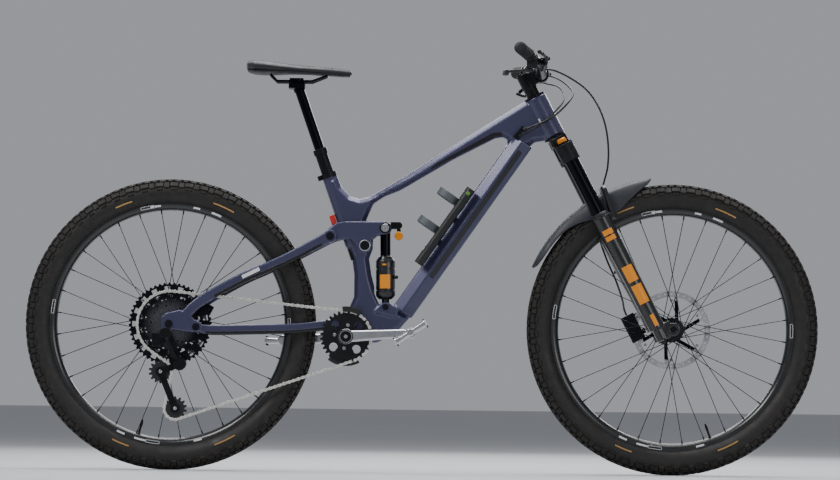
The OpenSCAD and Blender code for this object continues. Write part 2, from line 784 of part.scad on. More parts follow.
// Horst pivot bolts, fixed in the seatstay ends
module horst_bolts() {
    color("#B9BCC4") both_sides() {
        cross(horst_p, 6, 63.6, 82);
        cross(horst_p, 9.5, 82, 84);
    }
}

// Seatstay pair with the bridge and the dropouts
module seatstay() {
    color(paint) difference() {
        union() {
            both_sides() {
                cross(link_rear_p, 17, 34.6, 45);
                bar_path([
                    at_y(link_rear_p, 39.8), [-330, 44, 557], [-470, 57, 492],
                    [-566, 74, 436], [-612, 78, 392]
                ], 10, 26);
                plate([
                    [-668, 392], [-655, 400], [-600, 400], [-580, 384], [-564, 378], [-564, 358],
                    [-590, 354], [-640, 360], [-668, 362]
                ], 74, 82);
            }
            bar([-313, -40, 572.6], [-313, 40, 572.6], 12, 12);
            plate([[-668, 376], [-640, 376], [-642, 344], [-668, 344]], -82, -75);
        }
        cross(rear_axle_p, 6, -100, 100);
        both_sides() cross(horst_p, 6, 60, 100);
        both_sides() cross(link_rear_p, 6, 30, 60);
        cross(hanger_p, 5, -100, -70);
        both_sides() cross(horst_p, 15.2, 55, 73.9);
    }
}

// Rear through axle and the bolts of the rear link pivots
module rear_axle() {
    color("#26282D") {
        cross(rear_axle_p, 6, -84, 82);
        cross(rear_axle_p, 10, -86, -82.1);
        both_sides() cross(link_rear_p, 6, 34.6, 46);
        both_sides() cross(link_rear_p, 10, 46, 48);
    }
}

// Rear brake caliper around the disc
module rear_caliper() {
    color("#22252B") difference() {
        translate([-598, 46, 424]) rotate([0, 28, 0]) cube([52, 20, 26]);
        cross(rear_axle_p, rear_disc_r + 1.5, 57, 61);
    }
}

// ---- Derailleur ----

module derailleur_body() {
    color("#1F2127") {
        cross(hanger_p, 4.9, -97, -75);
        difference() {
            cross(hanger_p, 14, -97, -82.3);
            cross(hanger_p, 5, -100, -70);
        }
        difference() {
            bar([-651, -90, 342], [-628, -60, 290], 16, 24);
            translate([-676, -82.3, 343.6]) cube([50, 14, 40]);
        }
        difference() {
            union() {
                cross(cage_p, 17, -64, -40);
                translate([-690, -96, 318]) cube([26, 14, 34]);
            }
            cross(cage_p, 4 + run_gap, -50, -30);
        }
    }
}

// Cage plates that hold both jockey wheels
module derailleur_cage() {
    color("#2A2C32") {
        for (y = [-38.6, -27.6]) difference() {
            union() {
                cross(upper_pulley_p, 12, y, y + 2);
                cross(lower_pulley_p, 12, y, y + 2);
                bar(at_y(upper_pulley_p, y + 1), at_y(lower_pulley_p, y + 1), 2, 16);
                if (y < -30) {
                    cross(cage_p, 13, y, y + 2);
                    bar(at_y(cage_p, y + 1), at_y(upper_pulley_p, y + 1), 2, 16);
                }
            }
        }
        for (p = [upper_pulley_p, lower_pulley_p]) cross(p, 3, -36.7, -27.5);
        cross(cage_p, 4, -48, -38.5);
    }
}
module jockey(p) {
    color("#17181C") toothed(p, pulley_teeth, sprocket_y, tooth_t, 3 + run_gap);
}
module upper_pulley() { jockey(upper_pulley_p); }
module lower_pulley() { jockey(lower_pulley_p); }

// ---- Chain ----

// Wheels in the order that the chain meets them: centre, radius, sense and chain line
runs = [
    [crank_p, pitch_r(ring_teeth), 1, ring_y], [lower_pulley_p, pitch_r(pulley_teeth), 1, sprocket_y],
    [upper_pulley_p, pitch_r(pulley_teeth), -1, sprocket_y], [rear_axle_p, pitch_r(42), 1, sprocket_y]
];
function turn_by(v, a) = [v[0] * cos(a) - v[1] * sin(a), v[0] * sin(a) + v[1] * cos(a)];
function link_normal(a, b) = let (
    v = b[0] - a[0], lean = acos((a[2] * a[1] - b[2] * b[1]) / norm(v))
) turn_by(v / norm(v), lean);
function contact_angle(w, n) = atan2(w[2] * n[1], w[2] * n[0]);
function wrap(a) = a < 0 ? wrap(a + 360) : a >= 360 ? a - 360 : a;
function wheel_points(i) = let (
    w = runs[i], before = runs[(i + 3) % 4], after = runs[(i + 1) % 4],
    n0 = link_normal(before, w), n1 = link_normal(w, after),
    a0 = contact_angle(w, n0), a1 = contact_angle(w, n1),
    sweep = w[2] > 0 ? -wrap(a0 - a1) : wrap(a1 - a0),
    n = ceil(abs(sweep) * w[1] * PI / 180 / 12),
    flat = concat(
        [polar(w[0], w[1], a0) - chain_lead * turn_by(n0, -90)],
        [for (k = [0:n]) polar(w[0], w[1], a0 + sweep * k / n)],
        [polar(w[0], w[1], a1) + chain_lead * turn_by(n1, -90)])
) [for (q = flat) [q[0], w[3], q[1]]];
chain_points = [for (i = [0:3], q = wheel_points(i)) q];

// One side of the chain as a closed band beside the chain line
module chain_side(y0, y1, half) {
    n = len(chain_points);
    rings = [for (i = [0:n - 1]) let (
        d = chain_points[(i + 1) % n] - chain_points[(i + n - 1) % n],
        u = [-d[2], 0, d[0]] / norm([d[0], d[2]]), c = chain_points[i]
    ) [c + half * u + [0, y0, 0], c + half * u + [0, y1, 0], c - half * u + [0, y1, 0], c - half * u + [0, y0, 0]]];
    faces = [for (i = [0:n - 1], k = [0:3])
        [i * 4 + k, i * 4 + (k + 1) % 4, ((i + 1) % n) * 4 + (k + 1) % 4, ((i + 1) % n) * 4 + k]];
    polyhedron(points = [for (g = rings, q = g) q], faces = faces);
}
module chain() {
    color("#C9CBD0") {
        chain_side(1.25, 2.5, 4.1);
        chain_side(-2.5, -1.25, 4.1);
    }
}

// ---- Cranks and pedals ----

module crank_arm(tip, side) {
    mid = (crank_p + tip) / 2;
    d = (tip - crank_p) / norm(tip - crank_p);
    n = [-d[1], d[0]];
    plate([
        crank_p + n * 15, crank_p - n * 15, tip - n * 11, tip + n * 11
    ], side > 0 ? arm_y : -arm_y - arm_t, side > 0 ? arm_y + arm_t : -arm_y);
    cross(tip, 14, side > 0 ? arm_y : -arm_y - arm_t, side > 0 ? arm_y + arm_t : -arm_y);
}
module crank_arms() {
    color("#C6C9CF") {
        cross(crank_p, 20, -arm_y - arm_t, -42.4);
        cross(crank_p, 20, 42.4, arm_y + arm_t);
        cross(crank_p, spindle_r, -42.5, 42.5);
        crank_arm(pedal_right_p, -1);
        crank_arm(pedal_left_p, 1);
        cross(pedal_right_p, 8, -78, -arm_y - arm_t);
        cross(pedal_left_p, 8, arm_y + arm_t, 78);
        cross(pedal_right_p, pedal_pin_r, -184, -78);
        cross(pedal_left_p, pedal_pin_r, 78, 184);
    }
}
module chainring() {
    color("#202228") difference() {
        toothed(crank_p, ring_teeth, ring_y, tooth_t, 20.02);
        for (i = [0:3]) cross(polar(crank_p, 42, 90 * i + 40), 11, -60, -40);
    }
    color("#202228") for (i = [0:3]) difference() {
        cross(polar(crank_p, 30, 90 * i + 85), 5, ring_y + 1, ring_y + 3);
        cross(polar(crank_p, 30, 90 * i + 85), 2, -60, -40);
    }
}

// Platform pedal with traction pins, drawn flat on the left side
module pedal_at(p, tilt) {
    translate([p[0], 0, p[1]]) rotate([0, -tilt, 0]) difference() {
        union() {
            translate([-49, 84, -8]) cube([98, 9, 16]);
            translate([-49, 175, -8]) cube([98, 9, 16]);
            translate([-49, 84, -8]) cube([9, 100, 16]);
            translate([40, 84, -8]) cube([9, 100, 16]);
            translate([-11, 84, -9]) cube([22, 100, 18]);
            for (x = [-44.5, 44.5], y = [92, 120, 148, 176]) translate([x, y, -12]) cylinder(h = 24, r = 1.8);
        }
        translate([0, 200, 0]) rotate([90, 0, 0]) cylinder(h = 140, r = pedal_pin_r + run_gap);
    }
}
module pedal_left() { color("#B9BDC4") pedal_at(pedal_left_p, 0); }
module pedal_right() { color("#B9BDC4") mirror([0, 1, 0]) pedal_at(pedal_right_p, 33); }

// ---- Link and shock ----

rocker_outline = [
    [-248, 622], [-237, 630], [-222, 642], [-200, 646], [-96, 647], [-82, 640], [-79, 628],
    [-84, 617], [-96, 613], [-118, 610], [-130, 598], [-128, 584], [-132, 571], [-148, 564],
    [-163, 570], [-170, 584], [-180, 600], [-210, 598], [-237, 590], [-252, 596], [-255, 608]
];
module rocker_link() {
    color(paint) both_sides() difference() {
        plate(rocker_outline, 24, 34);
        cross(link_frame_p, 7.5 + run_gap, 10, 50);
        cross(shock_top_p, 6, 10, 50);
    }
    color("#B9BCC4") both_sides() {
        cross(shock_top_p, 6, 22.4, 34);
        cross(shock_top_p, 9, 34, 36.5);
    }
}

// Air can of the shock with its lower eye
module shock_can() {
    color("#17181C") difference() {
        union() {
            shock() translate([0, 0, 20]) cylinder(h = 8, r1 = 17, r2 = can_r);
            shock() translate([0, 0, 28]) cylinder(h = 92, r = can_r);
            shock() translate([0, 0, 120]) cylinder(h = 12, r1 = can_r, r2 = 18);
            shock() translate([-9, -12, 4]) cube([18, 24, 17]);
            cross(shock_low_p, 12, -15, 15);
        }
        shock() translate([0, 0, 30]) cylinder(h = 120, r = shaft_r + run_gap);
        cross(shock_low_p, 5 + run_gap, -30, 30);
    }
    color(accent) shock() difference() {
        translate([0, 0, 45]) cylinder(h = 38, r = can_r + 0.4);
        translate([0, 0, 40]) cylinder(h = 50, r = can_r);
    }
}

// Damper shaft, trunnion head and piggyback body
module shock_damper() {
    color("#202228") difference() {
        union() {
            shock() translate([0, 0, 95]) cylinder(h = shock_l - 100, r = shaft_r);
            cross(shock_top_p, 9.5, -22, 22);
            shock() translate([-9, -20, shock_l - 9]) cube([18, 40, 22]);
            translate([-82, -15, 628]) cube([24, 22, 18]);
            translate([-61, -16, 637]) rotate([90, 0, 0]) cylinder(h = 6, r = 9);
        }
        translate([-61, -8, 610]) rotate([90, 0, 0]) cylinder(h = 20, r = 4 + run_gap);
    }
    color("#202228") translate([-66, -12, 601]) cube([10, 14, 26.8]);
}
module shock_knob() {
    color(accent) translate([-61, -12.4, 610]) rotate([90, 0, 0]) cylinder(h = 12, r = 11.5);
}

// ---- Seat ----

module slab(x, y, z, r, h) { translate([x, y, z]) cylinder(h = h, r = r, $fn = 32); }
module saddle() {
    color("#1C1D22") {
        hull() {
            both_sides() slab(-428, 38, 1030, 30, 18);
            both_sides() slab(-432, 34, 1046, 26, 16);
            slab(-335, 0, 1032, 33, 10);
            slab(-335, 0, 1040, 26, 8);
        }
        hull() {
            slab(-335, 0, 1032, 33, 10);
            slab(-335, 0, 1040, 26, 8);
            slab(-205, 0, 1024, 19, 10);
            slab(-208, 0, 1032, 14, 10);
        }
    }
}
module saddle_rails() {
    color("#2B2D33") both_sides() {
        rod([-398, 22, 1025], [-380, 22, 1008], 3.5, 3.5);
        translate([-380, 22, 1008]) sphere(r = 3.7);
        rod([-380, 22, 1008], [-290, 22, 1008], 3.5, 3.5);
        translate([-290, 22, 1008]) sphere(r = 3.7);
        rod([-290, 22, 1008], [-250, 14, 1023.5], 3.5, 3.5);
    }
}
module dropper_inner() {
    color("#101115") {
        post() translate([0, 0, -95]) cylinder(h = 95 + post_top_s - 12, r = post_r);
        difference() {
            union() {
                translate([-350, -28, 990]) cube([42, 56, 13.9]);
                post() translate([0, 0, post_travel + 4]) cylinder(h = 10, r = 15);
            }
            both_sides() rod([-370, 22, 1008], [-290, 22, 1008], 3.55, 3.55);
        }
        translate([-348, -27, 1012]) cube([36, 54, 4]);
    }
    color("#B9BCC4") for (x = [-344, -316]) translate([x, 0, 1003.9]) cylinder(h = 8, r = 3);
}

// ---- Hoses ----

// Routes of the brake hoses and the dropper cable, as round numbers
rear_hose_route = [
    [303, 127.5, 1040], [304, 112, 1039], [322, 88, 1038], [348, 58, 1028], [375, 26, 1006],
    [386, -8, 984], [372, -32, 958], [345, -40, 930], [318, -42, 912], [290, -38, 900],
    [258, -29, 888]
];
dropper_route = [
    [290, 174.7, 1040], [292, 160, 1034], [302, 138, 1026], [322, 106, 1018], [348, 64, 1008],
    [362, 24, 988], [360, -12, 962], [334, -31, 930], [308, -33, 906], [280, -31, 888],
    [246, -28, 872]
];
// The front hose: from the lever in the bike's frame, then in the steering frame down the left leg
front_hose_route = [
    [303, -127.5, 1040], [306, -114, 1039], [336, -98, 1036], [376, -72, 1020], [420, -40, 992],
    [452, -2, 952], [472, 34, 905], [481, 54, 850]
];
leg_hose_route = [
    [91, 66, 454], [66, 86, 424], [40, 96, 395], [14, 97, 350], [-10, 92, 300], [-20, 84, 240],
    [-24, 74, 180], [-32, 58, 130], [-40, 46, 104], [-42, 41, 87.3]
];
function steer_point(q) = [
    steer_foot[0] + q[0] * cos(steer_tilt) - q[2] * sin(steer_tilt), q[1],
    steer_foot[1] + q[0] * sin(steer_tilt) + q[2] * cos(steer_tilt)
];
module bar_hoses() {
    color("#0F1013") {
        hose(smooth(rear_hose_route, 3), 2.6);
        hose(smooth(dropper_route, 3), 2.1);
    }
}
module front_brake_hose() {
    color("#0F1013") hose(smooth(concat(front_hose_route, [for (q = leg_hose_route) steer_point(q)]), 2), 2.6);
}

front_triangle();
headset_cups();
bottom_bracket();
dropper_outer();
frame_hardware();
chain_guide();
bottle_cage();
mini_pump();
rear_light();
bar_hoses();
chain();
fork_crown();
stanchions();
stem();
handlebar();
grips();
brake_bodies();
control_mounts();
front_brake_hose();
brake_lever_right();
brake_lever_left();
shift_paddle();
dropper_lever();
fork_knob();
fork_lowers();
fork_hardware();
front_axle();
front_caliper();
mudguard();
front_tyre();
front_rim();
front_spokes();
front_hub();
front_rotor();
rear_tyre();
rear_rim();
rear_spokes();
rear_hub();
rear_rotor();
cassette();
chainstay();
horst_bolts();
seatstay();
rear_axle();
rear_caliper();
derailleur_body();
derailleur_cage();
upper_pulley();
lower_pulley();
crank_arms();
chainring();
pedal_right();
pedal_left();
rocker_link();
shock_can();
shock_damper();
shock_knob();
saddle();
saddle_rails();
dropper_inner();
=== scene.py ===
import math

import bmesh
import bpy
from bpy.props import FloatProperty, FloatVectorProperty, IntProperty, PointerProperty
from bpy.types import Operator, Panel, PropertyGroup
from mathutils import Matrix, Quaternion, Vector


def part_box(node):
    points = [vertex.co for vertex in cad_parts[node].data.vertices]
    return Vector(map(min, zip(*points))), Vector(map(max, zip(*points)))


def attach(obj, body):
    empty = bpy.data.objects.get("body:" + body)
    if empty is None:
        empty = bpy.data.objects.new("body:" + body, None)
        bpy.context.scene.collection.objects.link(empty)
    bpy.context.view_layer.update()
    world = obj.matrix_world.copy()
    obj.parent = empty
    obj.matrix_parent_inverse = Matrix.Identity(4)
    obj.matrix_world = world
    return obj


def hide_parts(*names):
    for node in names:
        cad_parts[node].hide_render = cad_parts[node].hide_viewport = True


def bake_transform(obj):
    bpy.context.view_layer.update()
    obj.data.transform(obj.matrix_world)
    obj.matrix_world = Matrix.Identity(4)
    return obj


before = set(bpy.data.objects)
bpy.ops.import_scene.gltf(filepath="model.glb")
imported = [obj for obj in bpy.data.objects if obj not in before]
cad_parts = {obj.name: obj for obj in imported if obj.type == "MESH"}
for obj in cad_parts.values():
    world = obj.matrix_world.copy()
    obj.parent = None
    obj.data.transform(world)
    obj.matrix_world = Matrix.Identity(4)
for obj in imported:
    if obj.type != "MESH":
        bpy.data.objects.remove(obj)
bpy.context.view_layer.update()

bl_info = {
    "name": "Mountain bike maker",
    "version": (1, 0, 0),
    "blender": (4, 5, 0),
    "location": "3D View > Sidebar > Bike",
    "description": "Builds the looks of a full-suspension mountain bike round its packed frame",
    "category": "Object",
}

MM = 0.001


# ---- Places, in millimetres ----

def middle_of(node):
    """The middle of a CAD node's box, in millimetres."""
    low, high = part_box(node)
    return (low + high) / 2 / MM


def axle_of(place):
    """A place moved into the bike's middle plane."""
    return Vector((place.x, 0, place.z))


REAR_AXLE = middle_of("rear_rotor")
FRONT_AXLE = middle_of("front_rotor")
TYRE_R = (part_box("front_tyre")[1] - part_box("front_tyre")[0]).x / 2 / MM
TYRE_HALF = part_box("front_tyre")[1].y / MM
RING = middle_of("chainring")
CRANK = Vector((-193, 0, 348))
ARM_Y = 60  # inner face of the crank arms from the middle plane
ARM_T = 13  # thickness of a crank arm
PIN_R = 3.9  # radius of a pedal axle
MAIN_PIVOT = Vector((-183, 0, 389))
HORST = Vector((-578, 0, 368))
LINK_REAR = Vector((-237.5, 0, 607))
LINK_FRAME = Vector((-148, 0, 584))
SHOCK_TOP = Vector((-96, 0, 630))
SHOCK_LOW = Vector((-93, 0, 426))


def local(x, z, turn):
    """Maps points of a part's own frame, leaning back by turn degrees at (x, z), to the bike's frame."""
    c, s = math.cos(math.radians(turn)), math.sin(math.radians(turn))
    return lambda a, y, t: Vector((x + a * c - t * s, y, z + a * s + t * c))


STEER_TILT = 27.5
STEER = local(FRONT_AXLE.x - 44 * math.cos(math.radians(STEER_TILT)),
              FRONT_AXLE.z - 44 * math.sin(math.radians(STEER_TILT)), STEER_TILT)
POST = local(-268.5, 833.4, 19.4)
DOWN_TUBE = local(134.7, 730, 55.4)
SHOCK_LEAN = math.degrees(math.atan2(SHOCK_TOP.x - SHOCK_LOW.x, SHOCK_TOP.z - SHOCK_LOW.z))
SHOCK = local(SHOCK_LOW.x, SHOCK_LOW.z, -SHOCK_LEAN)
STEER_UP, POST_UP, SHOCK_UP = (part(0, 0, 1) - part(0, 0, 0) for part in (STEER, POST, SHOCK))


# ---- Sizes and colours a user would change ----

def linear(code):
    """An sRGB hex colour as the linear RGBA that Blender's sockets hold."""
    parts = [int(code[i:i + 2], 16) / 255 for i in (1, 3, 5)]
    return tuple(c / 12.92 if c <= 0.04045 else ((c + 0.055) / 1.055) ** 2.4 for c in parts) + (1.0,)


def colour(name, description, code):
    return FloatVectorProperty(name=name, description=description, subtype="COLOR", size=3,
                               min=0, max=1, default=linear(code)[:3])


class BikeFrameSettings(PropertyGroup):
    paint: colour("Paint", "Colour of the metallic frame paint", "#3A3A58")
    accent: colour("Accent", "Colour of the anodised knobs and the graphic blocks", "#E48A04")
    panel_chamfer: FloatProperty(
        name="Panel chamfer", description="Width of the bevelled edge round the frame's side panels",
        default=12 * MM, min=2 * MM, max=16 * MM, unit="LENGTH")
    moulding_voxel: FloatProperty(
        name="Moulding detail", description="Mesh size used where moulded parts are fused",
        default=2.1 * MM, min=1 * MM, max=5 * MM, unit="LENGTH")


class BikeWheelSettings(PropertyGroup):
    knob_count: IntProperty(name="Knob rows", description="Number of knob rows round a tyre",
                            default=58, min=40, max=120)
    knob_height: FloatProperty(name="Knob height", description="Height of a tread block",
                               default=6.5 * MM, min=2 * MM, max=9 * MM, unit="LENGTH")
    spoke_count: IntProperty(name="Spokes a side", description="Spokes on each side of a wheel",
                             default=16, min=8, max=24)
    spoke_width: FloatProperty(name="Spoke width", description="Diameter of a spoke",
                               default=2 * MM, min=1 * MM, max=4 * MM, unit="LENGTH")
    rubber: colour("Rubber", "Colour of the tyre rubber", "#141210")


class BikeDriveSettings(PropertyGroup):
    link_pitch: FloatProperty(name="Chain pitch", description="Distance between two chain pins",
                              default=12.7 * MM, min=8 * MM, max=16 * MM, unit="LENGTH")
    pin_count: IntProperty(name="Pedal pins", description="Grip pins on each side of a pedal",
                           default=10, min=4, max=16)


class BikeSeatSettings(PropertyGroup):
    cover: colour("Saddle cover", "Colour of the saddle's cover", "#17181D")
    grip: colour("Grips", "Colour of the handlebar grips", "#0C0C0D")


# ---- Nodes and materials ----

def add(tree, kind, inputs=None, **settings):
    """Adds a node, with its settings, and with each input given a value or a link."""
    node = tree.nodes.new(kind)
    for key, value in settings.items():
        setattr(node, key, value)
    for key, value in (inputs or {}).items():
        if isinstance(value, bpy.types.NodeSocket):
            tree.links.new(value, node.inputs[key])
        else:
            node.inputs[key].default_value = value
    return node


def shade(rgba, share):
    """A colour made lighter or darker by a share."""
    return tuple(min(1.0, c * share) for c in rgba[:3]) + (1.0,)


def surface(name, base, rough, metallic=0.0, grain=0.8, depth=0.03, spread=0.18, rough_spread=0.1,
            patch=30.0, edge=0.7, dust=None, dust_share=0.0, **shader):
    """A material with patchy tone and gloss, fine grain in relief and softened edges.

    grain and patch are the sizes in millimetres of the fine relief and of the broad tone changes, and
    depth is the height of the relief. edge is the radius in millimetres that sharp edges look rounded to.
    """
    material = bpy.data.materials.new(name)
    material.use_nodes = True
    tree = material.node_tree
    tree.nodes.clear()
    where = add(tree, "ShaderNodeTexCoord").outputs["Object"]
    broad = add(tree, "ShaderNodeTexNoise", {"Vector": where, "Scale": 1 / (patch * MM), "Detail": 4.0})
    fine = add(tree, "ShaderNodeTexNoise", {"Vector": where, "Scale": 1 / (grain * MM), "Detail": 3.0})
    tone = add(tree, "ShaderNodeMix", {0: broad.outputs["Fac"], 6: shade(base, 1 - spread),
                                       7: shade(base, 1 + spread)}, data_type="RGBA").outputs[2]
    if dust:
        specks = add(tree, "ShaderNodeTexNoise", {"Vector": where, "Scale": 1 / (patch * 0.4 * MM),
                                                  "Detail": 8.0, "Roughness": 0.7})
        amount = add(tree, "ShaderNodeMapRange", {0: specks.outputs["Fac"], 1: 0.45, 2: 0.75, 3: 0.0,
                                                  4: dust_share})
        tone = add(tree, "ShaderNodeMix", {0: amount.outputs[0], 6: tone, 7: dust},
                   data_type="RGBA").outputs[2]
    gloss = add(tree, "ShaderNodeMapRange", {0: broad.outputs["Fac"], 1: 0.3, 2: 0.7,
                                             3: max(0.03, rough - rough_spread), 4: rough + rough_spread})
    soft = add(tree, "ShaderNodeBevel", {"Radius": edge * MM}, samples=4)
    relief = add(tree, "ShaderNodeBump", {"Height": fine.outputs["Fac"], "Distance": depth * MM,
                                          "Strength": 1.0, "Normal": soft.outputs[0]})
    bsdf = add(tree, "ShaderNodeBsdfPrincipled", {
        "Base Color": tone, "Roughness": gloss.outputs[0], "Metallic": metallic,
        "Normal": relief.outputs[0], **shader})
    add(tree, "ShaderNodeOutputMaterial", {"Surface": bsdf.outputs[0]})
    return material


def part_of(material, kind):
    """The first node of that kind in a material."""
    return next(n for n in material.node_tree.nodes if n.bl_idname == kind)


def ring_distance(tree, centre):
    """Distance from an axle's line, in metres, from the point's own place."""
    where = add(tree, "ShaderNodeTexCoord").outputs["Object"]
    flat = add(tree, "ShaderNodeVectorMath", {0: where, 1: (centre.x * MM, 0, centre.z * MM)},
               operation="SUBTRACT")
    kept = add(tree, "ShaderNodeVectorMath", {0: flat.outputs[0], 1: (1, 0, 1)}, operation="MULTIPLY")
    return add(tree, "ShaderNodeVectorMath", {0: kept.outputs[0]}, operation="LENGTH").outputs["Value"]


def recolour(material, mask, other):
    """Lays a second colour where mask is 1, over the first."""
    tree = material.node_tree
    bsdf = part_of(material, "ShaderNodeBsdfPrincipled")
    under = bsdf.inputs["Base Color"].links[0].from_socket
    mix = add(tree, "ShaderNodeMix", {0: mask, 6: under, 7: other}, data_type="RGBA")
    tree.links.new(mix.outputs[2], bsdf.inputs["Base Color"])


def metallic_paint(name, base, flake):
    """Clear-coated metallic paint on moulded carbon: fine flakes sparkle, and the coat is smooth."""
    material = surface(name, base, 0.36, metallic=0.45, grain=0.9, depth=0.004, spread=0.1, patch=90,
                       rough_spread=0.05, edge=0.8, **{"Coat Weight": 0.55, "Coat Roughness": 0.14})
    tree = material.node_tree
    where = add(tree, "ShaderNodeTexCoord").outputs["Object"]
    # real flakes are 0.05 mm across; drawn at 0.7 mm so that they show
    flakes = add(tree, "ShaderNodeTexVoronoi", {"Vector": where, "Scale": 1 / (0.7 * MM)})
    mask = add(tree, "ShaderNodeMapRange", {0: flakes.outputs["Distance"], 1: 0.0, 2: 0.35, 3: 0.35, 4: 0.0})
    recolour(material, mask.outputs[0], flake)
    return material


def brushed(name, base, rough, direction, metallic=1.0, **extra):
    """Metal with a directional brushed grain: fine lines stretched along one axis."""
    material = surface(name, base, rough, metallic=metallic, **extra)
    tree = material.node_tree
    where = add(tree, "ShaderNodeTexCoord").outputs["Object"]
    stretched = add(tree, "ShaderNodeMapping", {"Vector": where, "Scale": direction})
    lines = add(tree, "ShaderNodeTexNoise", {"Vector": stretched.outputs[0], "Scale": 1 / (0.9 * MM),
                                             "Detail": 2.0})
    bump = part_of(material, "ShaderNodeBump")
    tree.links.new(lines.outputs["Fac"], bump.inputs["Height"])
    return material


def shadow_panel(name, path, w, h, drop, share):
    """Painted shade: a thin darker panel that wraps the lower, downward-facing part of a stay, h deep and w
    wide.
    """
    low = []
    for i, p in enumerate(path):
        d = (path[min(len(path) - 1, i + 1)] - path[max(0, i - 1)]).normalized()
        side = (Vector((0, 1, 0)) - d * d.y).normalized()
        low.append(p - (side.cross(d) if side.cross(d).z > 0 else d.cross(side)) * h * drop)
    return sweep(name, low, [(w + 1.8, h * share)] * 2)


def woven_carbon(name, base):
    """Carbon laminate under clear resin: a faint twill of 2 mm tows shows through the gloss."""
    material = surface(name, base, 0.3, grain=1.5, depth=0.005, spread=0.1, edge=0.5,
                       **{"Coat Weight": 0.6, "Coat Roughness": 0.12})
    tree = material.node_tree
    where = add(tree, "ShaderNodeTexCoord").outputs["Object"]
    turned = add(tree, "ShaderNodeMapping", {"Vector": where, "Rotation": (0, math.radians(45), 0)})
    tows = add(tree, "ShaderNodeTexChecker", {"Vector": turned.outputs[0], "Scale": 1 / (4 * MM)})
    mask = add(tree, "ShaderNodeMapRange", {0: tows.outputs["Fac"], 3: 0.0, 4: 0.5})
    recolour(material, mask.outputs[0], shade(base, 1.9))
    return material


def wheel_material(name, centre, base, other, inner, outer, **extra):
    """A metal ring whose finish changes between two radii, such as a disc on its carrier."""
    material = surface(name, base, **extra)
    tree = material.node_tree
    far = ring_distance(tree, centre)
    mask = add(tree, "ShaderNodeMapRange", {0: far, 1: inner * MM, 2: outer * MM, 3: 0.0, 4: 1.0})
    recolour(material, mask.outputs[0], other)
    # turning marks: fine rings half a millimetre apart
    rings = add(tree, "ShaderNodeMath", {0: far, 1: 2 * math.pi / (0.9 * MM)}, operation="MULTIPLY")
    wave = add(tree, "ShaderNodeMath", {0: rings.outputs[0]}, operation="SINE")
    tree.links.new(wave.outputs[0], part_of(material, "ShaderNodeBump").inputs["Height"])
    return material


MATERIALS = {}


